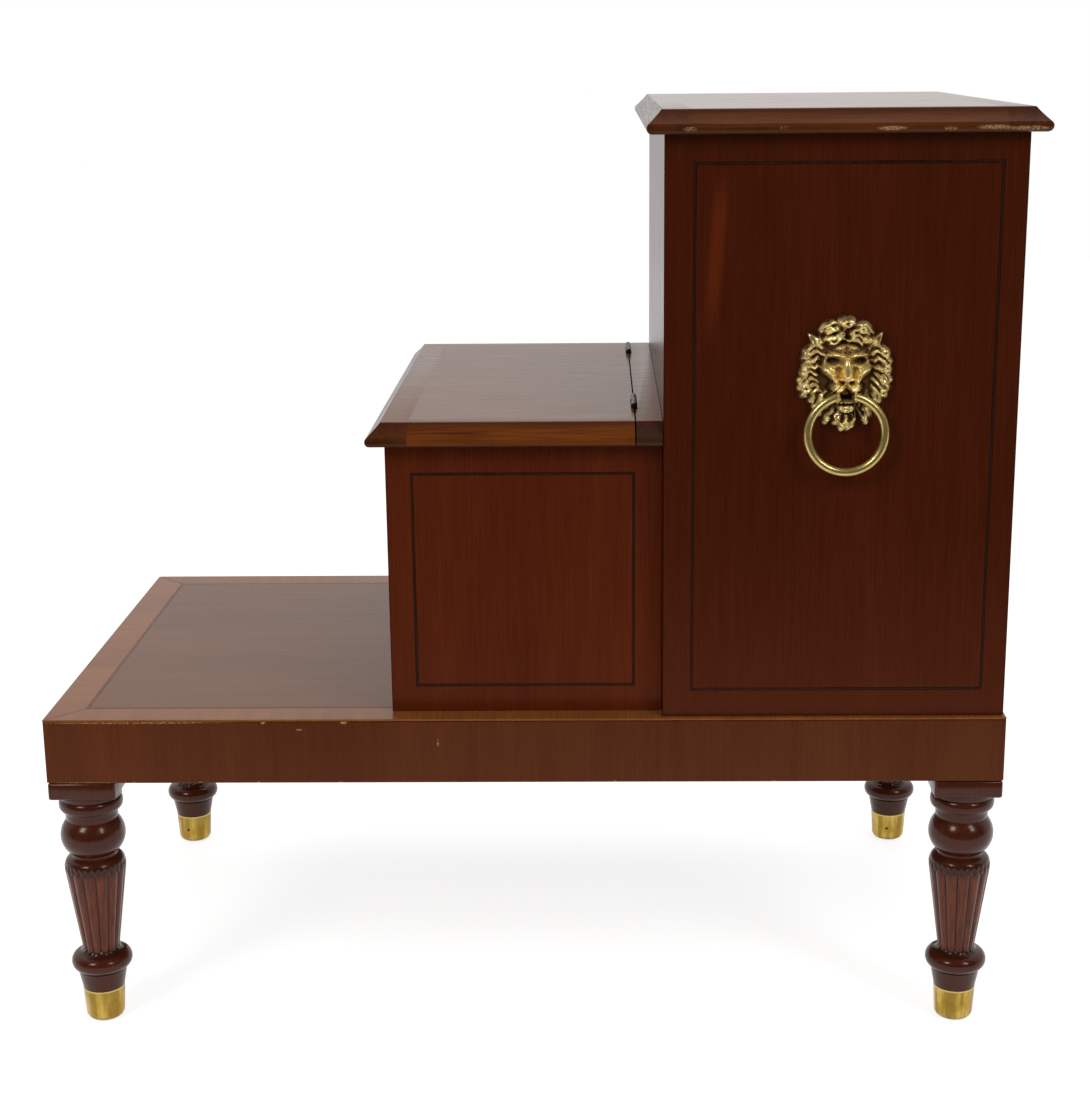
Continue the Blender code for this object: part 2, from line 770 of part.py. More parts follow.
def build_top_lid(anchor):
    side = TALL_SIDE + TALL_LID_OVERHANG
    front = TALL_FRONT - TALL_LID_OVERHANG
    rear = TALL_REAR + TALL_LID_OVERHANG
    slab = ((front, -side), (rear, side), TALL_TOP)
    far = side + MOULD_REACH + OVERRUN
    out = MOULD_REACH + OVERRUN
    rail = front + LID_END_WIDTH
    back_rail = rear - LID_END_WIDTH
    edge = side - LID_EDGE_WIDTH
    inner = edge - SEAM
    lid_piece("top_lid_edge_front", slab, (front - out, -far), (rail, far), LIPPING, anchor)
    back = lid_piece(
        "top_lid_edge_rear", slab, (back_rail, -far), (rear + out, far), LIPPING, anchor
    )
    start = rail + SEAM
    end = back_rail - SEAM
    lid_piece("top_lid_edge_right", slab, (start, -far), (end, -edge), LIPPING, anchor)
    lid_piece("top_lid_edge_left", slab, (start, edge), (end, far), LIPPING, anchor)
    lid_piece("top_lid_panel", slab, (start, -inner), (end, inner), MAHOGANY_TREAD, anchor)
    return back


# Hinges


def knuckle_span(index, start):
    step = HINGE_LENGTH / HINGE_KNUCKLES
    low = start + index * step
    high = low + step
    low += SEAM / 2 if index > 0 else 0
    high -= SEAM / 2 if index < HINGE_KNUCKLES - 1 else 0
    return low, high


def leaf(name, axis, start, plate, knuckles, anchor):
    """A hinge leaf: its plate, given from the axis, tongues up to its knuckles, and the knuckles."""
    axis_x, axis_z = axis
    (x0, z0), (x1, z1), tongue = plate
    obj = board(
        name,
        (axis_x + x0, start, axis_z + z0),
        (axis_x + x1, start + HINGE_LENGTH, axis_z + z1),
        BRONZED,
        anchor,
    )
    (tx0, tz0), (tx1, tz1) = tongue
    for index in knuckles:
        low, high = knuckle_span(index, start)
        join(
            obj,
            cutter_box(
                f"{name}_tongue_{index}",
                (axis_x + tx0, low, axis_z + tz0),
                (axis_x + tx1, high, axis_z + tz1),
            ),
        )
        join(
            obj,
            rod(
                f"{name}_knuckle_{index}",
                HINGE_BARREL_RADIUS,
                (axis_x, low, axis_z),
                (axis_x, high, axis_z),
                HINGE_ROUND_STEPS,
            ),
        )
    bore = rod(
        f"{name}_bore",
        HINGE_BORE_RADIUS,
        (axis_x, start - OVERRUN, axis_z),
        (axis_x, start + HINGE_LENGTH + OVERRUN, axis_z),
        HINGE_ROUND_STEPS,
    )
    cut(obj, bore)
    return obj


def pocket(obj, name, axis, start, low, high):
    """Cuts the seat of a leaf or a barrel, given from the axis, with a seam at each end."""
    axis_x, axis_z = axis
    seat = cutter_box(
        name,
        (axis_x + low[0], start - SEAM, axis_z + low[1]),
        (axis_x + high[0], start + HINGE_LENGTH + SEAM, axis_z + high[1]),
    )
    cut(obj, seat)


def hinge_pin(name, axis, start):
    axis_x, axis_z = axis
    return rod(
        name,
        HINGE_PIN_RADIUS,
        (axis_x, start, axis_z),
        (axis_x, start + HINGE_LENGTH, axis_z),
        HINGE_ROUND_STEPS,
        cutter=False,
        material=BRONZED,
        parent=ROOT,
    )


def build_middle_hinge(name, start, panel, strip, anchor):
    """Leaves upright in the gap, let into the edges of the lid and of the strip."""
    axis = (MIDDLE_AXIS_X, MIDDLE_AXIS_Z)
    near = LID_GAP / 2
    far = near + HINGE_LEAF_THICKNESS
    top = -HINGE_BARREL_RADIUS - SEAM
    bottom = top - HINGE_LEAF_WIDTH
    seat_far = far + SEAM
    seat_bottom = bottom - SEAM
    lid_plate = ((-far, bottom), (-near, top), ((-far, top - OVERRUN), (-near, 0)))
    strip_plate = ((near, bottom), (far, top), ((near, top - OVERRUN), (far, 0)))
    leaf(f"middle_hinge_{name}_lid_leaf", axis, start, lid_plate, (1, 3), anchor)
    leaf(f"middle_hinge_{name}_strip_leaf", axis, start, strip_plate, (0, 2, 4), ROOT)
    hinge_pin(f"middle_hinge_{name}_pin", axis, start)
    pocket(
        panel, f"seat_lid_{name}", axis, start, (-seat_far, seat_bottom), (near + OVERRUN, OVERRUN)
    )
    pocket(
        strip,
        f"seat_strip_{name}",
        axis,
        start,
        (-near - OVERRUN, seat_bottom),
        (seat_far, OVERRUN),
    )


def build_rear_hinge(name, start, back_wall, back_edge, anchor):
    """Leaves flat between the rear wall and the top lid, the barrel under the lid's rear edge."""
    axis = (REAR_AXIS_X, REAR_AXIS_Z)
    gap = SEAM / 2
    thick = gap + HINGE_LEAF_THICKNESS
    near = -HINGE_BARREL_RADIUS - SEAM
    far = near - (CASE_WALL - OVERRUN)
    seat_far = far - SEAM
    seat = thick + SEAM
    case_plate = ((far, -thick), (near, -gap), ((near - OVERRUN, -thick), (0, -gap)))
    lid_plate = ((far, gap), (near, thick), ((near - OVERRUN, gap), (0, thick)))
    leaf(f"top_hinge_{name}_case_leaf", axis, start, case_plate, (0, 2, 4), ROOT)
    leaf(f"top_hinge_{name}_lid_leaf", axis, start, lid_plate, (1, 3), anchor)
    hinge_pin(f"top_hinge_{name}_pin", axis, start)
    reach = HINGE_BARREL_RADIUS + SEAM + SEAM
    pocket(back_wall, f"seat_case_{name}", axis, start, (seat_far, -seat), (OVERRUN, OVERRUN))
    pocket(back_edge, f"seat_top_{name}", axis, start, (seat_far, -OVERRUN), (0, seat))
    pocket(back_edge, f"seat_barrel_{name}", axis, start, (-reach, -OVERRUN), (reach, reach))


def build_hinges(lid_panel, strip, back_wall, back_edge, middle_axis, top_axis):
    side = MIDDLE_SIDE + MIDDLE_LID_SIDE_OVERHANG
    middle_starts = {
        "right": -side + HINGE_RIGHT_INSET,
        "left": side - HINGE_LEFT_INSET - HINGE_LENGTH,
    }
    for name, start in middle_starts.items():
        build_middle_hinge(name, start, lid_panel, strip, middle_axis)
    rear_starts = {
        "right": -TALL_SIDE + REAR_HINGE_INSET,
        "left": TALL_SIDE - REAR_HINGE_INSET - HINGE_LENGTH,
    }
    for name, start in rear_starts.items():
        build_rear_hinge(name, start, back_wall, back_edge, top_axis)


# Lion masks with their rings


def outline_radius(angle):
    """Distance from the middle of the mask to its rim, at an angle from straight up."""
    last = len(MASK_OUTLINE_share) - 1
    place = abs(math.remainder(angle, 2 * math.pi)) / math.pi * last
    index = min(int(place), last - 1)
    blend = (1 - math.cos(math.pi * (place - index))) / 2
    first, second = MASK_OUTLINE_share[index : index + 2]
    return MASK_HEIGHT / 2 * (first + (second - first) * blend)


def relief(across, up):
    """Height of the mask over its back, at a place given in metres from its middle."""
    u = across / (MASK_WIDTH / 2)
    v = up / (MASK_HEIGHT / 2)
    height = MASK_RIM_share
    for x, z, wide, tall, rise in MASK_FORMS_share:
        for side in (-1, 1) if x > 0 else (1,):
            distance = ((u - side * x) / wide) ** 2 + ((v - z) / tall) ** 2
            height += rise * math.exp(-distance)
    return height * MASK_DEPTH


def low_under_ring(across, up):
    """The greatest height that leaves the ring room, below the level of its pivot."""
    room = RING_STAND_OFF - RING_WIRE - RING_BORE_CLEAR
    above = (up - (RING_PIVOT - MASK_CENTRE) - RING_WIRE) / RING_WIRE
    return room + MASK_DEPTH * min(max(above, 0), 1)


def mask_mesh(side):
    """A dome of rings and spokes pressed into the relief, closed by a flat back."""
    bm = bmesh.new()
    bmesh.ops.create_uvsphere(
        bm, u_segments=MASK_SPOKES, v_segments=2 * MASK_RINGS, radius=1
    )
    everything = bm.verts[:] + bm.edges[:] + bm.faces[:]
    bmesh.ops.bisect_plane(
        bm, geom=everything, plane_co=(0, 0, 0), plane_no=(0, 0, 1), clear_inner=True
    )
    for vertex in bm.verts:
        share = min(math.acos(max(-1, min(1, vertex.co.z))) / (math.pi / 2), 1)
        angle = math.atan2(vertex.co.x, vertex.co.y)
        radius = share * outline_radius(angle)
        across = radius * math.sin(angle)
        up = radius * math.cos(angle)
        round_off = math.sqrt(max(1 - share**8, 0))
        height = min(relief(across, up), low_under_ring(across, up)) * round_off
        vertex.co = (across, height, up)
    rim = [edge for edge in bm.edges if edge.is_boundary]
    bmesh.ops.edgeloop_fill(bm, edges=rim)
    bmesh.ops.recalc_face_normals(bm, faces=bm.faces)
    if side < 0:
        bmesh.ops.rotate(bm, verts=bm.verts, cent=(0, 0, 0), matrix=Matrix.Rotation(math.pi, 3, "Z"))
    return bm


def build_jaw(name, x, face, side):
    """The open mouth that holds the ring: a rounded jaw, and cutters for mouth and bore."""
    reach = JAW_WIDTH / 2
    near, far = sorted((face + side * JAW_BACK, face + side * JAW_FRONT))
    jaw = cutter_box(f"jaw_{name}", (x - reach, near, JAW_BOTTOM), (x + reach, far, JAW_TOP))
    bevel(jaw, JAW_ROUND, 2)
    gape = JAW_MOUTH_WIDTH / 2
    inside, outside = sorted((face + side * JAW_MOUTH_BACK, face + side * (JAW_FRONT + OVERRUN)))
    mouth = cutter_box(
        f"mouth_{name}",
        (x - gape, inside, JAW_MOUTH_BOTTOM),
        (x + gape, outside, RING_PIVOT + RING_WIRE),
    )
    bore_reach = reach + RING_WIRE
    pivot_y = face + side * RING_STAND_OFF
    bore = rod(
        f"ring_bore_{name}",
        RING_WIRE + RING_BORE_CLEAR,
        (x - bore_reach, pivot_y, RING_PIVOT),
        (x + bore_reach, pivot_y, RING_PIVOT),
        ROUND_STEPS,
    )
    return jaw, mouth, bore


def build_ring(name, x, face, side):
    """An open ring of round wire whose two ends turn in the sides of the lion's mouth."""
    anchor = empty(f"ring_axis_{name}", (x, face + side * RING_STAND_OFF, RING_PIVOT))
    hang(anchor, ROOT)
    end = (JAW_MOUTH_WIDTH + (JAW_WIDTH - JAW_MOUTH_WIDTH) / 2) / 2
    start = math.asin(end / RING_RADIUS)
    path = bpy.data.curves.new(f"ring_{name}", "CURVE")
    path.dimensions = "3D"
    path.bevel_depth = RING_WIRE
    path.bevel_resolution = 2
    path.use_fill_caps = True
    spline = path.splines.new("POLY")
    spline.points.add(RING_POINTS - 1)
    sweep = 2 * (math.pi - start)
    for index, point in enumerate(spline.points):
        angle = start + sweep * index / (RING_POINTS - 1)
        across = RING_RADIUS * math.sin(angle)
        up = RING_RADIUS * (math.cos(angle) - 1)
        point.co = (across, 0, up, 1)
    ring = bpy.data.objects.new(f"ring_{name}", path)
    path.materials.append(BRASS)
    PARTS.objects.link(ring)
    ring.parent = anchor


def build_bolt(name, x, face, side, panel):
    """The bolt that draws the mask on to the panel, with its nut inside the box."""
    inner = face - side * CASE_WALL
    start = SEAM
    profile = [(0, start), (BOLT_RADIUS, start)]
    profile.append((BOLT_RADIUS, CASE_WALL + SEAM))
    profile.append((BOLT_HEAD_RADIUS, CASE_WALL + SEAM))
    profile.append((BOLT_HEAD_RADIUS, CASE_WALL + SEAM + BOLT_HEAD_HEIGHT))
    profile.append((0, CASE_WALL + SEAM + BOLT_HEAD_HEIGHT))
    profile = [(radius, -depth) for radius, depth in profile]
    bolt = turned(f"mask_bolt_{name}", profile, ROUND_STEPS, BRASS, (x, face, MASK_CENTRE))
    bolt.rotation_euler = (-side * math.pi / 2, 0, 0)
    hole = rod(
        f"bolt_hole_{name}",
        BOLT_RADIUS + BOLT_CLEAR,
        (x, inner - side * OVERRUN, MASK_CENTRE),
        (x, face + side * OVERRUN, MASK_CENTRE),
        ROUND_STEPS,
    )
    cut(panel, hole)


def build_mask(name, side, panel):
    x = (TALL_FRONT + TALL_STRING_FRONT + TALL_REAR - TALL_STRING_REAR) / 2
    wall = side * TALL_SIDE
    face = wall + side * SEAM
    mask = smooth(add(f"lion_mask_{name}", mask_mesh(side), BRASS, (x, face, MASK_CENTRE)))
    jaw, mouth, bore = build_jaw(name, x, face, side)
    join(mask, jaw)
    cut(mask, mouth)
    cut(mask, bore)
    build_ring(name, x, face, side)
    build_bolt(name, x, wall, side, panel)


def main():
    middle_axis = empty("middle_lid_axis", (MIDDLE_AXIS_X, 0, MIDDLE_AXIS_Z))
    hang(middle_axis, ROOT)
    top_axis = empty("top_lid_axis", (REAR_AXIS_X, 0, REAR_AXIS_Z))
    hang(top_axis, ROOT)
    build_platform()
    build_legs()
    tall_walls = build_tall_box()
    build_middle_box()
    lid_panel, strip = build_middle_lid(middle_axis)
    back_edge = build_top_lid(top_axis)
    build_hinges(lid_panel, strip, tall_walls["rear"], back_edge, middle_axis, top_axis)
    build_mask("right", -1, tall_walls["right"])
    build_mask("left", 1, tall_walls["left"])


main()
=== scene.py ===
import math
from functools import partial

import bmesh
import bpy
import numpy as np
from mathutils import Matrix, Vector


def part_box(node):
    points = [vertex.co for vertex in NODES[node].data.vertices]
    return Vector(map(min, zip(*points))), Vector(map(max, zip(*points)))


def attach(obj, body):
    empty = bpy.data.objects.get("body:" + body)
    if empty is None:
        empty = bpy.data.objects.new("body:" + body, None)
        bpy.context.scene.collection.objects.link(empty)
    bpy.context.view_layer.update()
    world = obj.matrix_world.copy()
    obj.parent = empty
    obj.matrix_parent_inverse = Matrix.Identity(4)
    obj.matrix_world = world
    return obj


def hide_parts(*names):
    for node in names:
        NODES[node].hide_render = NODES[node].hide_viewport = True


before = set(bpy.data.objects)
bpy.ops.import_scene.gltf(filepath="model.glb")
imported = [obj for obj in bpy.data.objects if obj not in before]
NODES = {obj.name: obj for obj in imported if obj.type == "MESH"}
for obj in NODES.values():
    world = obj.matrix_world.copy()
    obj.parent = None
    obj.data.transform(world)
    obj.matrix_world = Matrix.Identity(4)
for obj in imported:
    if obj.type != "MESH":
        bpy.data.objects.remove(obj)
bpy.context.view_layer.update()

# Sizes that repeat the source's, in metres
LID_THICKNESS = 0.0162
MOULD_REACH = 0.0100
REED_COUNT = 14


def linked(name, data):
    """A new object, in the scene."""
    made = bpy.data.objects.new(name, data)
    bpy.context.scene.collection.objects.link(made)
    return made


# The camera stands where the photograph was taken from

CAMERA_PLACE = Vector((0.0489965, -1.5052228, 0.7000695))
CAMERA_YAW, CAMERA_PITCH, CAMERA_ROLL = -0.016720, 0.251621, -0.0087406
CAMERA_LENS = 64.569
CAMERA_SHIFT = (-0.019777, -0.000604)


def make_camera():
    data = bpy.data.cameras.new("camera")
    data.sensor_width = 36
    data.lens = CAMERA_LENS
    data.shift_x, data.shift_y = CAMERA_SHIFT
    data.clip_start, data.clip_end = 0.05, 50
    camera = linked("camera", data)
    camera.matrix_world = (
        Matrix.Translation(CAMERA_PLACE)
        @ Matrix.Rotation(-CAMERA_YAW, 4, "Z")
        @ Matrix.Rotation(math.pi / 2 - CAMERA_PITCH, 4, "X")
        @ Matrix.Rotation(CAMERA_ROLL, 4, "Z")
    )
    bpy.context.scene.camera = camera
    bpy.context.scene.view_settings.view_transform = "Standard"


# Node helpers


class Nodes:
    """Short calls that add nodes to one node tree and join them up."""

    def __init__(self, tree):
        self.tree = tree
        tree.nodes.clear()

    def new(self, kind, **settings):
        node = self.tree.nodes.new("ShaderNode" + kind)
        for key, value in settings.items():
            setattr(node, key, value)
        return node

    def put(self, socket, value):
        if isinstance(value, bpy.types.NodeSocket):
            self.tree.links.new(value, socket)
        else:
            socket.default_value = value

    def fill(self, node, values):
        """Sets or joins a node's inputs, each under its name or number."""
        for key, value in values.items():
            self.put(node.inputs[key], value)

    def math(self, operation, *values):
        node = self.new("Math", operation=operation)
        self.fill(node, dict(enumerate(values)))
        return node.outputs[0]

    def times(self, first, second):
        return self.math("MULTIPLY", first, second)

    def vector_math(self, operation, *values):
        node = self.new("VectorMath", operation=operation)
        self.fill(node, dict(enumerate(values)))
        return node.outputs["Value" if operation == "LENGTH" else "Vector"]

    def stretched(self, place, scale, shift=(0, 0, 0)):
        node = self.new("Mapping")
        self.fill(node, {"Vector": place, "Scale": scale, "Location": shift})
        return node.outputs[0]

    def noise(self, vector, scale=1.0, detail=3.0, rough=0.55, warp=0.0):
        node = self.new("TexNoise")
        self.fill(node, {"Vector": vector, "Scale": scale, "Detail": detail})
        self.fill(node, {"Roughness": rough, "Distortion": warp})
        return node.outputs["Fac"]

    def spread(self, value, low, high, to_low=0.0, to_high=1.0):
        node = self.new("MapRange", interpolation_type="SMOOTHSTEP")
        self.fill(node, {"Value": value, "From Min": low, "From Max": high})
        self.fill(node, {"To Min": to_low, "To Max": to_high})
        return node.outputs["Result"]

    def fade(self, value, low, high):
        """1 up to low, 0 from high on."""
        return self.spread(value, low, high, 1.0, 0.0)

    def ramp(self, value, *stops):
        node = self.new("ValToRGB")
        self.put(node.inputs["Fac"], value)
        points = node.color_ramp.elements
        while len(points) < len(stops):
            points.new(0.5)
        for point, (position, colour) in zip(points, stops):
            point.position = position
            point.color = (*colour, 1)
        return node.outputs["Color"]

    def mix(self, share, *colours):
        """Inputs 6 and 7 and output 2 of a Mix node are its colours."""
        node = self.new("Mix", data_type="RGBA")
        self.put(node.inputs["Factor"], share)
        for number, value in zip((6, 7), colours):
            self.put(node.inputs[number], (*value, 1) if isinstance(value, tuple) else value)
        return node.outputs[2]

    def mix_value(self, share, first, second):
        """Inputs 0, 2 and 3 and output 0 of a Mix node are its plain numbers."""
        node = self.new("Mix", data_type="FLOAT")
        self.fill(node, {0: share, 2: first, 3: second})
        return node.outputs[0]

    def bump(self, height, distance, strength):
        node = self.new("Bump")
        self.fill(node, {"Height": height, "Distance": distance, "Strength": strength})
        return node.outputs["Normal"]


class Finish(Nodes):
    """A material with one Principled shader."""

    def __init__(self, name, constants):
        self.material = bpy.data.materials.new(name)
        self.material.use_nodes = True
        super().__init__(self.material.node_tree)
        output = self.new("OutputMaterial")
        self.shader = self.new("BsdfPrincipled")
        self.put(output.inputs["Surface"], self.shader.outputs[0])
        self.place = self.new("TexCoord").outputs["Object"]
        split = self.new("SeparateXYZ")
        self.put(split.inputs[0], self.place)
        self.x, self.y, self.z = split.outputs
        self.fill(self.shader, constants)

    def wire(self, colour, roughness, normal):
        self.fill(self.shader, {"Base Color": colour, "Roughness": roughness, "Normal": normal})
        return self.material

    def zone(self, height, half, edge):
        """1 round a height, fading out from half to edge above and below it."""
        offset = self.math("ABSOLUTE", self.math("SUBTRACT", self.z, height))
        return self.fade(offset, half, edge)

    def near(self, centre, size, soft):
        """1 inside an ellipsoid, 0 outside, with a soft edge."""
        offset = self.vector_math("SUBTRACT", self.place, centre)
        distance = self.vector_math("LENGTH", self.vector_math("DIVIDE", offset, size))
        return self.fade(distance, 1 - soft, 1 + soft)

    def hollow(self):
        """How deep in the carving a vertex lies, as mark() kept it."""
        return self.new("Attribute", attribute_name="hollow").outputs["Fac"]


def grain(axis, across, along):
    """Texture scales: fine across the grain, long along it."""
    scale = [across] * 3
    scale["xyz".index(axis)] = along
    return scale


def scaled(colour, share):
    return tuple(channel * share for channel in colour)


# The varnish warms what the wood mirrors head on; it does so less on the legs
AMBER = (1.0, 0.55, 0.35, 1)
CLEAR = (1.0, 0.78, 0.66, 1)


def wood(name, axis, light, *, deep=0.55, rough=0.26, shine=0.25, shift=(0, 0, 0), extra=None,
         fleck=0.35, polish=0.0, tint=AMBER, relief=0.22):
    """Polished mahogany: broad tone, ribbons, fibres, short dark pores along the grain."""
    made = Finish(name, {
        "Specular IOR Level": shine,
        "Specular Tint": tint,
        "Coat Weight": polish,
        "Coat Roughness": 0.07,
    })
    place = made.stretched(made.place, (1, 1, 1), shift)
    dark = (light[0] * deep, light[1] * deep * 0.86, light[2] * deep * 0.8)
    broad = made.noise(made.stretched(place, grain(axis, 13, 2.4)), detail=2, warp=0.5)
    ribbon = made.noise(made.stretched(place, grain(axis, 95, 9)), detail=2)
    fibre = made.noise(made.stretched(place, grain(axis, 620, 17)), detail=3, rough=0.6)
    pores = made.spread(
        made.noise(made.stretched(place, grain(axis, 1500, 95)), detail=1), 0.60, 0.72
    )
    tone = made.times(broad, 0.40)
    tone = made.math("MULTIPLY_ADD", ribbon, 0.28, tone)
    tone = made.math("MULTIPLY_ADD", fibre, 0.32, tone)
    colour = made.ramp(tone, (0.34, dark), (0.50, light), (0.66, scaled(light, 1.5 - deep / 4)))
    colour = made.mix(made.times(pores, fleck), colour, scaled(dark, 0.45))
    roughness = made.spread(fibre, 0.3, 0.7, rough - 0.03, rough + 0.05)
    height = made.math("MULTIPLY_ADD", pores, -0.7, fibre)
    if extra:
        colour, roughness = extra(made, colour, roughness)
    return made.wire(colour, roughness, made.bump(height, 0.00003, relief))


BARE_WOOD = (0.42, 0.25, 0.11)  # where the finish is knocked off


def chipped(made, colour, roughness, spots):
    """Small chips of bare wood inside the given ellipsoids, ragged by fine noise."""
    ragged = made.noise(made.place, 1100, detail=3, rough=0.7)
    for centre, size, least in spots:
        worn = made.spread(ragged, least, least + 0.06)
        worn = made.times(made.near(centre, size, 0.35), worn)
        worn = made.times(worn, 0.8)
        colour = made.mix(worn, colour, BARE_WOOD)
        roughness = made.mix_value(worn, roughness, 0.6)
    return colour, roughness


def carcass(made, colour, roughness, low, high):
    """Plain wood inside a box, given by its lowest and highest inner corners."""
    tests = []
    for value, floor, roof in zip((made.x, made.y, made.z), low, high):
        tests.append(made.math("GREATER_THAN", value, floor))
        tests.append(made.math("LESS_THAN", value, roof))
    inside = tests[0]
    for test in tests[1:]:
        inside = made.times(inside, test)
    fibre = made.noise(made.stretched(made.place, (240, 240, 9)), detail=3)
    plain = made.ramp(fibre, (0.3, (0.20, 0.085, 0.035)), (0.7, (0.34, 0.17, 0.08)))
    return made.mix(inside, colour, plain), made.mix_value(inside, roughness, 0.55)


# Mesh helpers


def solid(name, bm, material, body, slot, *nodes, smooth=35, face_material=None):
    """A finished piece: its mesh, material, body and the CAD node it stands for.

    Its flat upper face can have a second material.
    """
    mesh = bpy.data.meshes.new(name)
    bmesh.ops.recalc_face_normals(bm, faces=bm.faces)
    highest = max(vertex.co.z for vertex in bm.verts)
    for face in bm.faces:
        face.smooth = True
        level = min(vertex.co.z for vertex in face.verts)
        if face_material and level > highest - 0.00001:
            face.material_index = 1
            face.smooth = False
    bm.to_mesh(mesh)
    bm.free()
    mesh.materials.append(material)
    if face_material:
        mesh.materials.append(face_material)
    piece = linked(name, mesh)
    mesh.set_sharp_from_angle(angle=math.radians(smooth))
    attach(piece, body)
    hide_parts(*nodes)
    return piece


def mark(piece, values):
    """Keeps for each vertex how hollow it lies, which a material can read."""
    attribute = piece.data.attributes.new("hollow", "FLOAT", "POINT")
    attribute.data.foreach_set("value", values)


def soften(piece, width):
    """A small bevel on the sharp edges, as sanding and polish leave them."""
    weld = piece.modifiers.new("weld", "WELD")
    weld.merge_threshold = 0.00001
    bevel = piece.modifiers.new("bevel", "BEVEL")
    bevel.width = width
    bevel.segments = 2
    bevel.limit_method = "ANGLE"
    bevel.angle_limit = math.radians(40)
    bevel.harden_normals = True


def dress(node, material, bevel=None):
    """Gives a CAD piece that stays its material and, with a bevel, softened edges."""
    piece = NODES[node]
    piece.material_slots[0].material = material
    if bevel:
        soften(piece, bevel)


def plain_box(bm, low, high):
    made = bmesh.ops.create_cube(bm, size=1)["verts"]
    for vertex in made:
        for axis in range(3):
            vertex.co[axis] = low[axis] if vertex.co[axis] < 0 else high[axis]
    return made


def rounded_box(bm, low, high, round_off, segments=3):
    """A box with all its edges rounded."""
    edges = {edge for vertex in plain_box(bm, low, high) for edge in vertex.link_edges}
    bmesh.ops.bevel(
        bm, geom=list(edges), offset=round_off, segments=segments, affect="EDGES", profile=0.5
    )


def join_rings(bm, rings, capped=True):
    """Faces from each ring of vertices to the next, and over both ends."""
    count = len(rings[0])
    for first, second in zip(rings, rings[1:]):
        for index in range(count):
            after = (index + 1) % count
            bm.faces.new((first[index], first[after], second[after], second[index]))
    if capped:
        bm.faces.new(rings[0])
        bm.faces.new(reversed(rings[-1]))


def turned_rings(bm, profile, steps, centre, radius_at=None):
    """Rings of a turned form from (radius, height) points, closed at both ends.

    Returns how far each vertex lies under the turned surface, for the painted shade and dirt in the
    carving.
    """
    rings, sunk = [], []
    for radius, height in profile:
        ring = []
        for step in range(steps):
            angle = 2 * math.pi * step / steps
            reach = radius_at(radius, height, angle) if radius_at else radius
            sunk.append(radius - reach)
            ring.append(bm.verts.new((
                centre[0] + reach * math.cos(angle),
                centre[1] + reach * math.sin(angle),
                height,
            )))
        rings.append(ring)
    join_rings(bm, rings)
    return sunk


def arc(centre, radius, start, end, steps):
    """(radius, height) points on an arc, angles in degrees from straight out, upwards."""
    points = []
    for step in range(steps + 1):
        angle = math.radians(start + (end - start) * step / steps)
        points.append((
            centre[0] + radius * math.cos(angle),
            centre[1] + radius * math.sin(angle),
        ))
    return points


def belly(root, radius, top, bottom, steps):
    """A swelling between two heights, from a root radius out to its greatest one.

    Its two ends are left out: the profile has its own points there.
    """
    points = []
    middle, half = (top + bottom) / 2, (top - bottom) / 2
    for step in range(1, steps):
        angle = math.pi * step / steps
        reach = root + (radius - root) * math.sin(angle) ** 0.8
        points.append((reach, middle + half * math.cos(angle)))
    return points


def slope(first, last, steps):
    """Even points from one (radius, height) to another, without the first."""
    points = []
    for step in range(1, steps + 1):
        share = step / steps
        points.append(tuple(a + (b - a) * share for a, b in zip(first, last)))
    return points


# Stage

PAPER = (0.80, 0.80, 0.80, 1)
PAPER_SEEN = (0.40, 0.40, 0.40, 1)  # what it adds to its glow where it is seen directly
GLOW = 0.80
WHITE = (1, 1, 1, 1)


def make_floor():
    """Pale paper: it glows where the camera, metal or glass sees it, and takes shadows."""
    mesh = bpy.data.meshes.new("floor")
    bm = bmesh.new()
    corners = ((-4, -0.85), (4, -0.85), (4, 5), (-4, 5))
    bm.faces.new([bm.verts.new((x, y, -0.0004)) for x, y in corners])
    bm.to_mesh(mesh)
    bm.free()
    floor = linked("floor", mesh)
    material = bpy.data.materials.new("paper")
    material.use_nodes = True
    made = Nodes(material.node_tree)
    output = made.new("OutputMaterial")
    paper = made.new("BsdfDiffuse")
    made.fill(paper, {"Color": PAPER})
    seen = made.new("LightPath").outputs
    share = made.math("MAXIMUM", seen["Is Camera Ray"], seen["Is Glossy Ray"])
    share = made.math("MAXIMUM", share, seen["Is Transmission Ray"])
    glow = made.new("Emission")
    made.fill(glow, {"Color": WHITE, "Strength": made.times(share, GLOW)})
    dim = made.new("BsdfDiffuse")
    made.fill(dim, {"Color": PAPER_SEEN})
    either = made.new("MixShader")
    made.fill(either, {0: share, 1: paper.outputs[0], 2: dim.outputs[0]})
    both = made.new("AddShader")
    made.fill(both, {0: either.outputs[0], 1: glow.outputs[0]})
    made.put(output.inputs["Surface"], both.outputs[0])
    mesh.materials.append(material)


def make_world():
    """White behind the object; in what it mirrors, dark in front and pale behind."""
    world = bpy.data.worlds.new("studio")
    bpy.context.scene.world = world
    world.use_nodes = True
    made = Nodes(world.node_tree)
    output = made.new("OutputWorld")
    seen = made.new("LightPath").outputs
    split = made.new("SeparateXYZ")
    made.put(split.inputs[0], made.new("TexCoord").outputs["Generated"])
    mirrored = made.spread(split.outputs[1], -0.35, 0.15, 0.06, 0.9)
    level = made.mix_value(seen["Is Glossy Ray"], 0.52, mirrored)
    white = made.math("MAXIMUM", seen["Is Camera Ray"], seen["Is Transmission Ray"])
    background = made.new("Background")
    made.fill(background, {"Color": WHITE, "Strength": made.mix_value(white, level, 1.0)})
    made.put(output.inputs["Surface"], background.outputs[0])


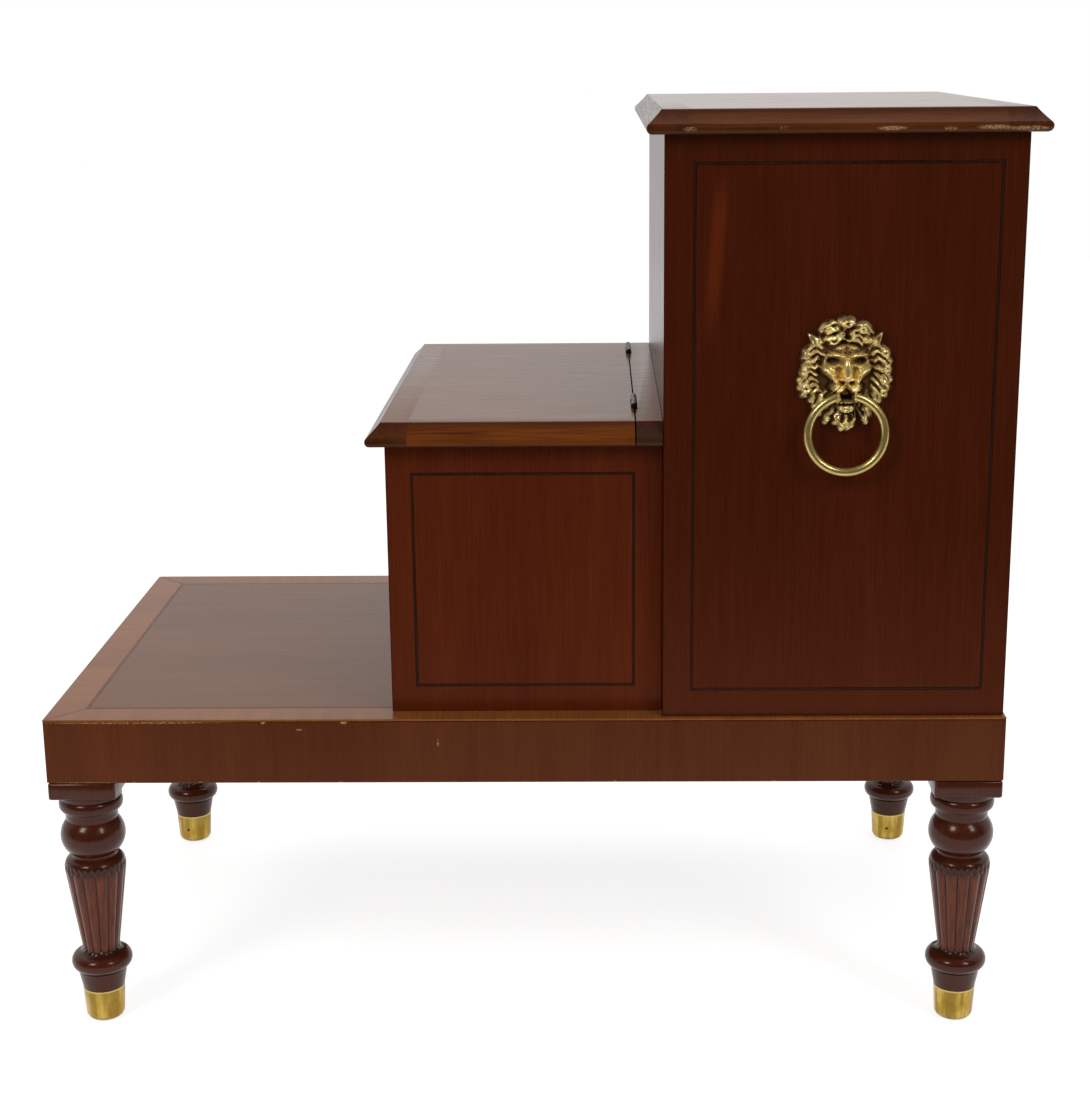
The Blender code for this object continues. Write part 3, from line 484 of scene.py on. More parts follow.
def lamp(name, place, size, power, colour=(1, 1, 1)):
    """A rectangular lamp that looks at the middle of the object."""
    data = bpy.data.lights.new(name, "AREA")
    data.shape = "RECTANGLE"
    data.size, data.size_y = size
    data.energy = power
    data.color = colour
    light = linked(name, data)
    light.location = place
    aim = Vector((0, 0, 0.3)) - Vector(place)
    light.rotation_euler = aim.to_track_quat("-Z", "Y").to_euler()


def make_lights():
    lamp("key", (-1.35, -1.9, 1.9), (0.7, 0.9), 26, (1.0, 0.98, 0.95))
    lamp("fill", (1.5, -1.7, 1.7), (0.5, 1.1), 17, (0.95, 0.98, 1.0))
    lamp("crown", (0.1, 0.5, 2.3), (1.6, 1.2), 16)


# Boards of the carcass

WALL = 0.0119  # a hair under the walls' thickness, so that their inner faces count as inside
HAIR = 0.0001
BOX_BEVEL, APRON_BEVEL, BAND_BEVEL = 0.0002, 0.0008, 0.0003


def apron_chips():
    """Chips along the arris and the foot of the right apron: middle, size, least noise."""
    low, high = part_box("apron_right")
    face, crest, foot = low.y, high.z, low.z
    spots = [
        ((-0.1880, face, crest - 0.0004), (0.0016, 0.003, 0.0010), 0.42),
        ((-0.1311, face, crest - 0.0004), (0.0022, 0.003, 0.0011), 0.42),
        ((-0.1627, face, crest - 0.0058), (0.0020, 0.003, 0.0005), 0.40),
        ((-0.0650, face, crest - 0.0160), (0.0005, 0.003, 0.0030), 0.50),
        ((-0.2800, face, crest - 0.0001), (0.0600, 0.003, 0.0008), 0.46),
        ((-0.3170, face, foot + 0.0002), (0.0215, 0.003, 0.0006), 0.44),
    ]
    for x in (-0.2815, -0.2344, -0.1930, -0.1346, 0.0600, 0.1720):
        spots.append(((x, face, foot + 0.0003), (0.0014, 0.003, 0.0008), 0.44))
    return spots


def dress_boards():
    """Materials and softened edges for the CAD boards that stay."""
    front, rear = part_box("tall_box_front")[0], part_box("tall_box_rear")[1]
    tall_inside = partial(
        carcass,
        low=(front.x + WALL, front.y + WALL, front.z + HAIR),
        high=(rear.x - WALL, rear.y - WALL, 1),
    )
    front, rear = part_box("middle_box_front")[0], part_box("middle_box_right")[1]
    middle_inside = partial(
        carcass,
        low=(front.x + WALL, front.y + WALL, front.z + HAIR),
        high=(rear.x + HAIR, -front.y - WALL, 1),
    )

    def tall_side(made, colour, roughness):
        """A lighter slanting streak high up near the front, and painted light low down, where the
        floor's bounce falls.
        """
        middle = made.math("MULTIPLY_ADD", made.z, 0.075, 0.0857)
        offset = made.math("ABSOLUTE", made.math("SUBTRACT", made.x, middle))
        streak = made.fade(offset, 0.0015, 0.0075)
        streak = made.times(streak, made.spread(made.z, 0.49, 0.555))
        streak = made.times(streak, made.fade(made.z, 0.585, 0.625))
        colour = made.mix(made.times(streak, 0.48), colour, (0.125, 0.0180, 0.0035))
        # Painted light: the lower part of the side is mixed towards a paler colour
        low = made.fade(made.z, 0.25, 0.42)
        colour = made.mix(made.times(low, 0.35), colour, (0.085, 0.016, 0.005))
        return tall_inside(made, colour, roughness)

    # For each kind of board its colour, the dark of its grain, its flecks and its bevel; then for
    # each side the way of the grain, a shift of the texture and what comes over the wood
    kinds = {
        ("apron", "apron"): ((0.077, 0.0175, 0.0050), 0.80, 0.20, APRON_BEVEL, {
            "front": ("z", (3, 1, 0), None),
            "rear": ("z", (7, 1, 0), None),
            "left": ("z", (5, 0, 2), None),
            "right": ("z", (1, 2, 0), partial(chipped, spots=apron_chips())),
        }),
        ("crossband", "band"): ((0.180, 0.060, 0.014), 0.78, 0.15, BAND_BEVEL, {
            "front": ("x", (0, 3, 0), None),
            "rear": ("x", (0, 6, 0), None),
            "left": ("y", (2, 0, 0), None),
            "right": ("y", (4, 0, 0), None),
        }),
        ("middle_box", "middle"): ((0.073, 0.0112, 0.0028), 0.86, 0.20, BOX_BEVEL, {
            "front": ("z", (1, 5, 0), middle_inside),
            "left": ("z", (6, 3, 0), middle_inside),
            "right": ("z", (2, 7, 0), middle_inside),
        }),
        ("tall_box", "tall"): ((0.045, 0.0068, 0.0015), 0.86, 0.20, BOX_BEVEL, {
            "front": ("z", (8, 5, 0), tall_inside),
            "left": ("z", (4, 9, 0), tall_side),
            "right": ("z", (3, 8, 0), tall_side),
            "rear": ("z", (9, 2, 0), tall_inside),
        }),
    }
    for (nodes, kind), (light, deep, fleck, bevel, sides) in kinds.items():
        for side, (axis, shift, extra) in sides.items():
            material = wood(f"mahogany_{kind}_{side}", axis, light, shift=shift, deep=deep,
                            fleck=fleck, extra=extra)
            dress(f"{nodes}_{side}", material, bevel)
    dress("platform_board", wood("mahogany_tread_low", "x", (0.108, 0.036, 0.009),
                                 shift=(0, 0, 3), deep=0.86, fleck=0.08, relief=0.08))
    dress("platform_stringing", wood("faint_stringing", "x", (0.105, 0.036, 0.010)))
    plain = wood("carcass_floor", "y", (0.30, 0.145, 0.065), rough=0.5, shine=0.2)
    inlay = wood("dark_stringing", "z", (0.020, 0.0085, 0.0055), rough=0.3)
    for box in ("middle", "tall"):
        dress(f"{box}_box_floor", plain, BOX_BEVEL)
        dress(f"{box}_stringing_left", inlay)
        dress(f"{box}_stringing_right", inlay)


# Legs and ferrules

KNOB_NECK, REEDS_FOOT, REEDS_TOP, LEAVES_TOP = 0.0545, 0.0545, 0.1196, 0.1250
REED_DEPTH, LEAF_DEPTH = 0.0015, 0.0012
BLOCK_HALF, BLOCK_FOOT, BLOCK_TOP, BLOCK_BEVEL = 0.024, 0.1793, 0.1922, 0.0019
POST_OUT, POST_IN, POST_FOOT, POST_TOP, POST_BEVEL = 0.0057, 0.020, 0.186, 0.2229, 0.0006


def leg_profile():
    """(radius, height) from the collar under the block down to the top of the ferrule."""
    # Collar, ring and neck
    points = [(0.0224, 0.1800), (0.0224, 0.1756), (0.0221, 0.1751), (0.0204, 0.1749)]
    points += belly(0.0200, 0.0229, 0.1748, 0.1654, 14)
    points += [(0.0196, 0.1650), (0.0190, 0.1640), (0.0188, 0.1616), (0.0187, 0.1592)]
    # Ball, then the flare over the leaves
    points += arc((0.0055, 0.1456), 0.0177, 44, -50, 24)
    points += [(0.0160, 0.1315), (0.0159, 0.1304), (0.0162, 0.1294), (0.0170, 0.1288)]
    points += [(0.0183, 0.1284), (0.0196, 0.1277), (0.0206, 0.1266), (0.0212, 0.1254)]
    # Leaves and reeds
    points += [(0.0216, 0.1242), (0.0219, 0.1230), (0.0220, 0.1216), (0.0219, 0.1200)]
    points += [(0.0218, 0.1186), (0.0217, 0.1172)]
    points += slope((0.0217, 0.1172), (0.0132, 0.0560), 12)
    # Knob and foot
    points += [(0.0136, 0.0547), (0.0143, 0.0538), (0.0150, 0.0532)]
    points += belly(0.0150, 0.0220, 0.0528, 0.0398, 18)
    points += [(0.0180, 0.0394), (0.0176, 0.0380), (0.0170, 0.0350), (0.0164, 0.0320)]
    points += [(0.0158, 0.0290), (0.0154, 0.0268), (0.0151, 0.0251)]
    return points


def leg_radius(radius, height, angle):
    """Cuts the reeds, and the band of leaves over them."""
    turn = angle / (2 * math.pi) * REED_COUNT
    across = 2 * (turn - math.floor(turn)) - 1
    round_reed = math.cos(math.pi / 2 * across) ** 0.7 if abs(across) < 1 else 0
    if REEDS_FOOT < height < REEDS_TOP:
        top = min((REEDS_TOP - height) / 0.0012, 1)
        foot = min((height - REEDS_FOOT) / 0.0022, 1)
        depth = REED_DEPTH * (0.55 + 0.45 * radius / 0.0216)
        radius -= depth * (1 - round_reed) * min(top, foot) ** 0.5
    elif REEDS_TOP <= height < LEAVES_TOP:
        leaf = abs(math.cos(2 * math.pi * turn))
        radius -= LEAF_DEPTH * (1 - leaf) * min((LEAVES_TOP - height) / 0.003, 1)
    return radius


def wax_and_painted_shade(made, colour, roughness):
    """Redder reeds; painted shade and dark wax in the cuts of the reeds and leaves; dark wax on the
    leaf band and at the knob's neck.
    """
    specks = made.noise(made.place, 700, detail=3, rough=0.65)
    streak = made.noise(made.stretched(made.place, (420, 420, 22)), detail=2)
    streak = made.spread(streak, 0.36, 0.62, 0.25, 1.0)
    reeded = made.times(made.zone(0.0870, 0.026, 0.034), streak)
    colour = made.mix(reeded, colour, (0.120, 0.0230, 0.0060))
    # Painted shade and dark wax: the deeper a vertex lies in the cuts, the darker it is
    cuts = made.times(made.spread(made.hollow(), 0.30, 1.0), 0.70)
    colour = made.mix(cuts, colour, (0.012, 0.0035, 0.0018))
    specks = made.spread(specks, 0.44, 0.56)
    band = made.times(made.zone(0.1228, 0.0030, 0.0052), specks)
    colour = made.mix(made.times(band, 0.75), colour, (0.014, 0.0060, 0.0035))
    neck = made.times(made.zone(KNOB_NECK, 0.0010, 0.0030), 0.65)
    colour = made.mix(neck, colour, (0.016, 0.0060, 0.0035))
    return colour, made.mix_value(cuts, roughness, 0.5)


def make_legs():
    turned_wood = wood("mahogany_turned", "z", (0.049, 0.0090, 0.0033), rough=0.22, shine=0.24,
                       polish=0.16, tint=CLEAR, deep=0.7, extra=wax_and_painted_shade)
    brass = ferrule_brass()
    for end in ("front", "rear"):
        for side in ("left", "right"):
            low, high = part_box(f"ferrule_{end}_{side}")
            x, y = (low.x + high.x) / 2, (low.y + high.y) / 2
            bm = bmesh.new()
            sunk = turned_rings(bm, leg_profile(), REED_COUNT * 12, (x, y), leg_radius)
            rounded_box(bm, (x - BLOCK_HALF, y - BLOCK_HALF, BLOCK_FOOT),
                        (x + BLOCK_HALF, y + BLOCK_HALF, BLOCK_TOP), BLOCK_BEVEL)
            # The post stands in the corner of the frame
            way_x = 1 if end == "rear" else -1
            way_y = 1 if side == "left" else -1
            x0, x1 = sorted((x + way_x * POST_OUT, x - way_x * POST_IN))
            y0, y1 = sorted((y + way_y * POST_OUT, y - way_y * POST_IN))
            rounded_box(bm, (x0, y0, POST_FOOT), (x1, y1, POST_TOP), POST_BEVEL, 1)
            leg = solid(f"leg_turned_{end}_{side}", bm, turned_wood, "base", "mahogany_turned",
                        f"leg_{end}_{side}")
            values = np.zeros(len(leg.data.vertices), dtype=np.float32)
            values[:len(sunk)] = np.array(sunk) / 0.0016
            mark(leg, values)
            make_ferrule(f"{end}_{side}", x, y, brass)


def ferrule_brass():
    """Brushed and blotched brass, with dark vertical streaks as painted reflections, a painted
    highlight on the rim, and painted shade at the floor and in its pin holes.
    """
    made = Finish("ferrule_brass", {"Metallic": 1.0})
    blotch = made.noise(made.stretched(made.place, (90, 90, 60)), detail=4, rough=0.65)
    brushed = made.noise(made.stretched(made.place, (60, 60, 1400)), detail=2)
    painted_reflection_streaks = made.noise(made.stretched(made.place, (150, 150, 6)), detail=2)
    colour = made.ramp(blotch, (0.30, (0.36, 0.22, 0.030)), (0.52, (0.50, 0.33, 0.065)),
                       (0.72, (0.62, 0.45, 0.13)))
    # Painted reflection: dark vertical streaks stand for dark surroundings mirrored in the brass
    painted_reflection_streaks = made.spread(painted_reflection_streaks, 0.40, 0.62, 0.0, 0.65)
    colour = made.mix(painted_reflection_streaks, colour, (0.20, 0.115, 0.022))
    # Painted highlight: the top rim is mixed towards a pale brass
    rim = made.spread(made.z, 0.0236, 0.0243)
    colour = made.mix(rim, colour, (0.58, 0.43, 0.15))
    # Painted shade: the rounded foot darkens towards the floor
    low = made.spread(made.z, 0.0, 0.0045, 0.75, 0.0)
    colour = made.mix(low, colour, (0.09, 0.05, 0.016))
    roughness = made.spread(blotch, 0.35, 0.65, 0.34, 0.20)
    for end in ("front", "rear"):
        low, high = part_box(f"ferrule_{end}_left")
        centre = ((low.x + high.x) / 2 - 0.0030, low.y, 0.0125)
        # Painted shade: a dark spot where the pin hole is
        painted_hole_shade = made.near(centre, (0.0011, 0.0040, 0.0011), 0.3)
        colour = made.mix(painted_hole_shade, colour, (0.02, 0.012, 0.006))
    return made.wire(colour, roughness, made.bump(brushed, 0.00002, 0.3))


def make_ferrule(name, x, y, material):
    """A brass cup: rolled top rim, tapering wall, rounded foot."""
    profile = [(0.0128, 0.0250), (0.0147, 0.0252), (0.0151, 0.0250), (0.0152, 0.0245)]
    profile += [(0.0151, 0.0239), (0.01505, 0.0234)]
    profile += slope((0.01505, 0.0234), (0.01395, 0.0052), 8)
    profile += arc((0.00875, 0.0052), 0.0052, 0, -90, 10)[1:]
    bm = bmesh.new()
    turned_rings(bm, profile, 96, (x, y))
    solid(f"ferrule_cup_{name}", bm, material, "base", "brass", f"ferrule_{name}")


# Moulded lids

FAR = 1  # beyond every board
# At the joints across a lid its pieces end this far from the joint, and reach as far over the
# joints along it
JOINT = 0.00002


def mould_profile():
    """(reach, drop) from the top arris: a hollow slope that runs into a half-round bead."""
    bead = 0.0040
    bead_x, bead_z = MOULD_REACH - bead, LID_THICKNESS - bead
    first = math.radians(52)
    end_x = bead_x + bead * math.cos(first)
    end_z = bead_z - bead * math.sin(first)
    points = [(-0.0006, 0), (-0.0002, 0.00006), (0.0001, 0.0003)]
    steps = 14
    for index in range(1, steps):
        t = index / steps
        bend = 2 * t * (1 - t)
        points.append((bend * 0.0018 + t * t * end_x, bend * 0.0028 + t * t * end_z))
    steps = 18
    sweep = first + math.pi / 2
    for index in range(steps + 1):
        angle = first - sweep * index / steps
        points.append((bead_x + bead * math.cos(angle), bead_z - bead * math.sin(angle)))
    return points


def moulded_piece(low, high, top, window):
    """The part of a moulded board inside an upright window, each cut closed."""
    (x0, y0), (x1, y1) = low, high
    bm = bmesh.new()
    rings = []
    for reach, drop in mould_profile():
        corners = (
            (x0 - reach, y0 - reach),
            (x1 + reach, y0 - reach),
            (x1 + reach, y1 + reach),
            (x0 - reach, y1 + reach),
        )
        rings.append([bm.verts.new((x, y, top - drop)) for x, y in corners])
    join_rings(bm, rings)
    bmesh.ops.recalc_face_normals(bm, faces=bm.faces)
    (wx0, wy0), (wx1, wy1) = window
    planes = (
        ((wx0, 0, 0), (-1, 0, 0)),
        ((wx1, 0, 0), (1, 0, 0)),
        ((0, wy0, 0), (0, -1, 0)),
        ((0, wy1, 0), (0, 1, 0)),
    )
    for place, outward in planes:
        everything = bm.verts[:] + bm.edges[:] + bm.faces[:]
        cut = bmesh.ops.bisect_plane(
            bm, geom=everything, plane_co=place, plane_no=outward, clear_outer=True, dist=1e-7
        )
        edges = [item for item in cut["geom_cut"] if isinstance(item, bmesh.types.BMEdge)]
        if edges:
            bmesh.ops.contextual_create(bm, geom=edges)
    return bm


def carve(piece, boxes):
    """Cuts small boxes out of a piece."""
    for low, high in boxes:
        bm = bmesh.new()
        plain_box(bm, low, high)
        mesh = bpy.data.meshes.new("cutter")
        bm.to_mesh(mesh)
        bm.free()
        cutter = linked("cutter", mesh)
        boolean = piece.modifiers.new("cut", "BOOLEAN")
        boolean.operation = "DIFFERENCE"
        boolean.solver = "EXACT"
        boolean.object = cutter
        graph = bpy.context.evaluated_depsgraph_get()
        cut = bpy.data.meshes.new_from_object(piece.evaluated_get(graph))
        piece.modifiers.clear()
        piece.data = cut
        bpy.data.objects.remove(cutter)


def seats(kind, leaf, grow, under):
    """The boxes that the two leaves of one kind need in the wood."""
    made = []
    for name in ("right", "left"):
        low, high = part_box(f"{kind}_hinge_{name}_{leaf}")
        made.append((
            (low.x - grow, low.y - grow, low.z - under),
            (high.x + grow, high.y + grow, high.z + grow),
        ))
    return made


def lid_wood(name, axis, shift, top, light=(0.122, 0.029, 0.004), rail=False, chips=()):
    """Wood of a moulded edge, with painted shade under the arris and a greyish painted reflection
    along the foot of the bead.
    """
    # Painted shade and a painted reflection, then chips of bare wood
    def worn(made, colour, roughness):
        # Painted shade: the slope just under the arris is mixed towards dark
        under = made.spread(made.z, top - 0.0050, top - 0.0012, 0.0, 0.74)
        colour = made.mix(under, colour, (0.044, 0.0130, 0.0075))
        # Painted reflection: the foot of the bead is mixed towards a greyish brown
        bottom = top - LID_THICKNESS
        foot = made.spread(made.z, bottom + 0.0010, bottom + 0.0026, 0.75, 0.0)
        colour = made.mix(foot, colour, (0.060, 0.026, 0.012))
        if chips:
            colour, roughness = chipped(made, colour, roughness, chips)
        return colour, roughness

    return wood(name, axis, light, deep=0.45 if rail else 0.30, rough=0.23, shine=0.17,
                shift=shift, extra=worn)


def bead_chips():
    """Chips along the bead of the top lid's right edge."""
    low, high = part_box("top_lid_edge_right")
    y, z = low.y + 0.0003, (low.z + high.z) / 2 - 0.0052
    return [
        ((x, y, z + lift), (half, 0.003, 0.0013), least)
        for x, half, lift, least in (
            (0.1095, 0.0040, 0.0006, 0.50),
            (0.2400, 0.0085, 0.0004, 0.46),
            (0.2775, 0.0040, 0.0000, 0.50),
            (0.3060, 0.0100, 0.0006, 0.46),
            (0.3280, 0.0140, -0.0002, 0.47),
            (0.1700, 0.0030, 0.0010, 0.56),
        )
    ]


def tread(name, shift, rough, shine):
    return wood(name, "x", (0.113, 0.038, 0.009), shift=(0, 0, shift), rough=rough,
                shine=shine, deep=0.88, fleck=0.08, relief=0.06)


def lid_pieces(board, pieces, top_wood):
    """Builds the pieces of one moulded board, each from its window on the board."""
    made = {}
    for node, body, window, material in pieces:
        slot = "mahogany_tread" if "panel" in node else "lipping"
        bm = moulded_piece(*board, window)
        made[node] = solid(f"fine_{node}", bm, material, body, slot, node,
                           face_material=top_wood)
    return made


def slab_of(front, rear):
    """Arris corners and top of a moulded board, from the CAD pieces at its two ends."""
    low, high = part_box(front)[0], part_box(rear)[1]
    return (
        (low.x + MOULD_REACH, low.y + MOULD_REACH),
        (high.x - MOULD_REACH, high.y - MOULD_REACH),
        high.z,
    )


END_DARK = (0.050, 0.0125, 0.0035)


def make_top_lid():
    face = tread("mahogany_tread_top", 5, 0.17, 0.20)
    chips = bead_chips()
    board = slab_of("top_lid_edge_front", "top_lid_edge_rear")
    low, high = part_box("top_lid_edge_right")
    x0, x1, edge = low.x, high.x, -high.y
    long = lid_wood("lipping_top_long", "x", (0, 1, 0), high.z, (0.062, 0.016, 0.004),
                    chips=chips)
    cross = lid_wood("lipping_top_cross", "y", (2, 0, 0), high.z, END_DARK, rail=True,
                     chips=chips)
    start, end, side = x0 + JOINT, x1 - JOINT, edge - JOINT
    windows = {
        "edge_front": (((-FAR, -FAR), (x0 - JOINT, FAR)), cross),
        "edge_rear": (((x1 + JOINT, -FAR), (FAR, FAR)), cross),
        "edge_right": (((start, -FAR), (end, -side)), long),
        "edge_left": (((start, side), (end, FAR)), long),
        "panel": (((start, -edge - JOINT), (end, edge + JOINT)), face),
    }
    made = lid_pieces(board, [
        (f"top_lid_{name}", "top_lid", window, material)
        for name, (window, material) in windows.items()
    ], face)
    carve(made["top_lid_edge_rear"], seats("top", "lid_leaf", 0.0003, 0.004))


def make_middle_lid():
    face = tread("mahogany_tread_middle", 8, 0.24, 0.15)
    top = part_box("middle_lid_nosing")[1].z
    low, high, crest = slab_of("middle_lid_nosing", "middle_hinge_strip")
    # The board is drawn longer than the lid, so that the cuts take its rear moulding away
    board = (low, (high[0] + MOULD_REACH + LID_THICKNESS, high[1]), crest)
    low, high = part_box("middle_lid_edge_right")
    x0, x1, edge = low.x, high.x, -high.y
    long = lid_wood("lipping_middle_long", "x", (0, 4, 0), top)
    cross = lid_wood("lipping_middle_cross", "y", (5, 0, 0), top, END_DARK, rail=True)
    # Dark cross grain, made darker and greyer still by painted shade from the tall box beside it
    strip = lid_wood("lipping_strip", "y", (7, 0, 0), top, (0.030, 0.0125, 0.0065), rail=True)
    strip_low, strip_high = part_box("middle_hinge_strip")
    start, side = x0 + JOINT, edge - JOINT
    made = lid_pieces(board, [
        ("middle_lid_nosing", "middle_lid", ((-FAR, -FAR), (x0 - JOINT, FAR)), cross),
        ("middle_lid_edge_right", "middle_lid", ((start, -FAR), (x1, -side)), long),
        ("middle_lid_edge_left", "middle_lid", ((start, side), (x1, FAR)), long),
        ("middle_lid_panel", "middle_lid", ((start, -edge - JOINT), (x1, edge + JOINT)), face),
        ("middle_hinge_strip", "base", ((strip_low.x, -FAR), (strip_high.x, FAR)), strip),
    ], face)
    carve(made["middle_lid_panel"], seats("middle", "lid_leaf", 0.0002, 0.0002))
    carve(made["middle_hinge_strip"], seats("middle", "strip_leaf", 0.0002, 0.0002))


# Lion masks and rings

# Locks of the mane, in millimetres across and up from the middle of the mask: greatest half
# width, height over the panel, then where the lock starts, the place it bends towards, its end
LOCKS = (
    (2.9, 7.8, (-6.0, 33.0), (-12.0, 38.4), (-16.9, 29.4)),
    (2.5, 8.4, (-3.6, 28.2), (-9.6, 33.6), (-13.8, 27.0)),
    (2.3, 9.2, (-2.6, 24.4), (-8.0, 28.6), (-13.0, 23.2)),
    (2.2, 7.8, (-9.4, 20.6), (-13.6, 25.2), (-18.6, 21.2)),
    (2.9, 7.8, (6.2, 32.6), (12.4, 37.4), (16.3, 28.6)),
    (2.5, 8.4, (3.6, 28.2), (9.4, 33.2), (13.4, 26.6)),
    (2.3, 9.2, (2.8, 24.4), (8.4, 28.4), (13.4, 23.0)),
    (2.2, 7.8, (9.6, 20.4), (14.0, 25.0), (18.8, 20.8)),
    (2.7, 8.2, (-1.6, 31.4), (-7.6, 36.6), (-2.0, 37.2)),
    (2.7, 8.2, (1.8, 31.4), (8.0, 36.4), (2.4, 37.2)),
    (2.6, 6.6, (-15.8, 18.6), (-22.0, 22.0), (-27.6, 15.4)),
    (2.5, 6.8, (-16.6, 14.0), (-23.4, 17.0), (-28.6, 10.6)),
    (2.5, 6.8, (-16.8, 9.4), (-23.4, 12.4), (-28.4, 5.8)),
    (2.6, 6.8, (-17.8, 4.8), (-24.4, 8.2), (-29.6, 0.9)),
    (2.7, 6.8, (-18.8, 0.2), (-25.6, 3.8), (-31.0, -4.2)),
    (2.8, 6.6, (-19.4, -4.2), (-26.0, -0.8), (-30.6, -9.6)),
    (2.8, 6.4, (-18.8, -8.2), (-25.0, -5.4), (-28.6, -14.4)),
    (2.6, 6.0, (-16.6, -10.6), (-21.0, -10.6), (-23.4, -17.6)),
    (2.4, 5.6, (-13.4, -11.0), (-15.2, -16.6), (-20.8, -22.0)),
    (2.4, 5.4, (-10.8, -14.0), (-11.8, -20.6), (-17.2, -27.0)),
    (2.5, 5.8, (-8.6, -19.6), (-8.8, -26.4), (-13.4, -32.6)),
    (2.6, 6.6, (15.6, 18.4), (22.0, 21.8), (27.4, 15.2)),
    (2.6, 6.8, (16.6, 14.0), (24.6, 17.0), (29.4, 8.8)),
    (2.6, 6.8, (17.0, 9.8), (25.0, 11.4), (29.6, 2.2)),
    (2.6, 6.8, (17.6, 5.6), (24.6, 5.6), (29.6, -3.8)),
    (2.7, 6.6, (18.2, 1.2), (23.8, -0.4), (28.8, -9.2)),
    (2.7, 6.4, (18.2, -3.4), (22.2, -5.6), (26.6, -14.2)),
    (2.6, 6.0, (16.6, -7.8), (19.4, -11.4), (23.2, -18.4)),
    (2.4, 5.6, (13.8, -11.2), (15.6, -17.4), (20.2, -23.0)),
    (2.4, 5.4, (10.8, -14.2), (12.2, -21.4), (17.0, -28.0)),
    (2.5, 5.8, (8.8, -19.8), (9.6, -26.6), (14.2, -32.8)),
    (2.3, 6.2, (-6.2, -25.4), (-4.0, -29.4), (-7.2, -33.4)),
    (2.3, 6.6, (-2.8, -27.0), (-4.8, -33.0), (-2.0, -37.6)),
    (2.3, 6.8, (0.4, -26.8), (2.6, -33.0), (1.6, -37.6)),
    (2.2, 9.6, (-0.6, 23.4), (-5.4, 25.6), (-9.6, 20.6)),
    (2.2, 9.6, (0.8, 23.4), (5.6, 25.4), (9.8, 20.4)),
    (2.3, 6.2, (4.0, -26.4), (7.4, -30.4), (4.8, -35.4)),
)
LOCK_STEPS = 10

# Rolled curls: across, up, radius, height
CURLS = (
    (10.4, 30.6, 4.2, 9.4), (-11.6, 30.4, 3.8, 8.8), (26.4, 14.6, 4.0, 8.2),
    (-26.6, 13.4, 3.6, 7.8), (-26.4, -9.2, 4.6, 8.0), (25.4, -12.4, 3.8, 7.6),
    (0.4, 34.8, 4.4, 9.6), (-28.0, 2.4, 3.4, 7.8), (28.0, 4.6, 3.4, 7.8),
    (-3.2, 27.6, 2.6, 10.2), (3.4, 27.8, 2.6, 10.2), (-18.4, 23.0, 3.0, 8.4),
    (18.6, 22.6, 3.0, 8.4), (-12.0, -29.8, 3.2, 6.4), (13.2, -29.6, 3.2, 6.4),
    (0.6, -33.6, 3.4, 7.0),
)

# Ears: middle of the root, tip
EARS = (((-19.4, 21.2), (-25.6, 27.4)), ((19.2, 21.2), (24.0, 28.0)))

# Ridges of the face on the left half: height, half width, then points across and up
RIDGES = (
    (4.6, 1.4, ((-16.4, 13.6), (-11.0, 14.2), (-5.4, 14.0), (-1.0, 12.8))),
    (4.4, 2.3, ((-17.8, 4.8), (-12.6, 3.4), (-9.2, 0.4), (-8.0, -4.0))),
    (0.9, 0.9, ((-13.0, 5.9), (-8.6, 5.3), (-4.8, 6.0))),
)

MASK_SPOKES, MASK_RINGS = 264, 108
# In metres
MASK_OVER_RING = 0.0117  # from the top of the ring's box up to the middle of the mask
MASK_SHIFT, RING_SHIFT = 0.0006, 0.0012  # along X from the CAD's place, to meet the photograph
RING_WIRE = 0.00290  # radius
RING_MOUTH = 0.00485  # half the gap between the ring's ends


def along(across, up, points):
    """Distance to a line of points, its side, and the share of the line reached there."""
    nearest = np.full(across.shape, 1e9)
    reached, side = np.zeros(across.shape), np.ones(across.shape)
    count = len(points) - 1
    for index, ((x0, z0), (x1, z1)) in enumerate(zip(points, points[1:])):
        dx, dz = x1 - x0, z1 - z0
        share = np.clip(((across - x0) * dx + (up - z0) * dz) / (dx * dx + dz * dz), 0, 1)
        distance = np.hypot(across - x0 - share * dx, up - z0 - share * dz)
        reached = np.where(distance < nearest, (index + share) / count, reached)
        turned = np.sign((across - x0) * dz - (up - z0) * dx)
        side = np.where(distance < nearest, turned, side)
        nearest = np.minimum(nearest, distance)
    return nearest, side, reached


def bell(across, up, x, z, wide, tall, power=1.0):
    return np.exp(-((((across - x) / wide) ** 2 + ((up - z) / tall) ** 2) ** power))


def dome(offset):
    return np.sqrt(np.clip(1 - offset * offset, 0, 1))


def eased(share):
    return share * share * (3 - 2 * share)


def bent(start, bend, end):
    """Points on the smooth curve of one lock."""
    points = []
    for step in range(LOCK_STEPS + 1):
        t = step / LOCK_STEPS
        weights = ((1 - t) ** 2, 2 * t * (1 - t), t * t)
        points.append(tuple(
            sum(weight * place[axis] for weight, place in zip(weights, (start, bend, end)))
            for axis in range(2)
        ))
    return points


def lock_width(width, share):
    return width * (0.62 + 0.38 * share)


def ear_width(share):
    return 4.2 - 3.3 * share


def lock_height(across, up, width, top, line):
    """A rounded lock with waving strands, highest in its middle."""
    distance, side, share = along(across, up, line)
    offset = distance / lock_width(width, share)
    wave = 0.34 * np.sin(7 * share + line[0][0] + line[0][1])
    strands = 0.75 * np.cos(2.2 * np.pi * (side * offset + wave)) * np.clip(1.15 - offset, 0, 1)
    rise = 0.80 + 0.20 * np.sin(np.pi * share)
    shaped = top * rise * (0.34 + 0.66 * dome(offset)) + strands
    return np.where(offset < 1, shaped, 0)


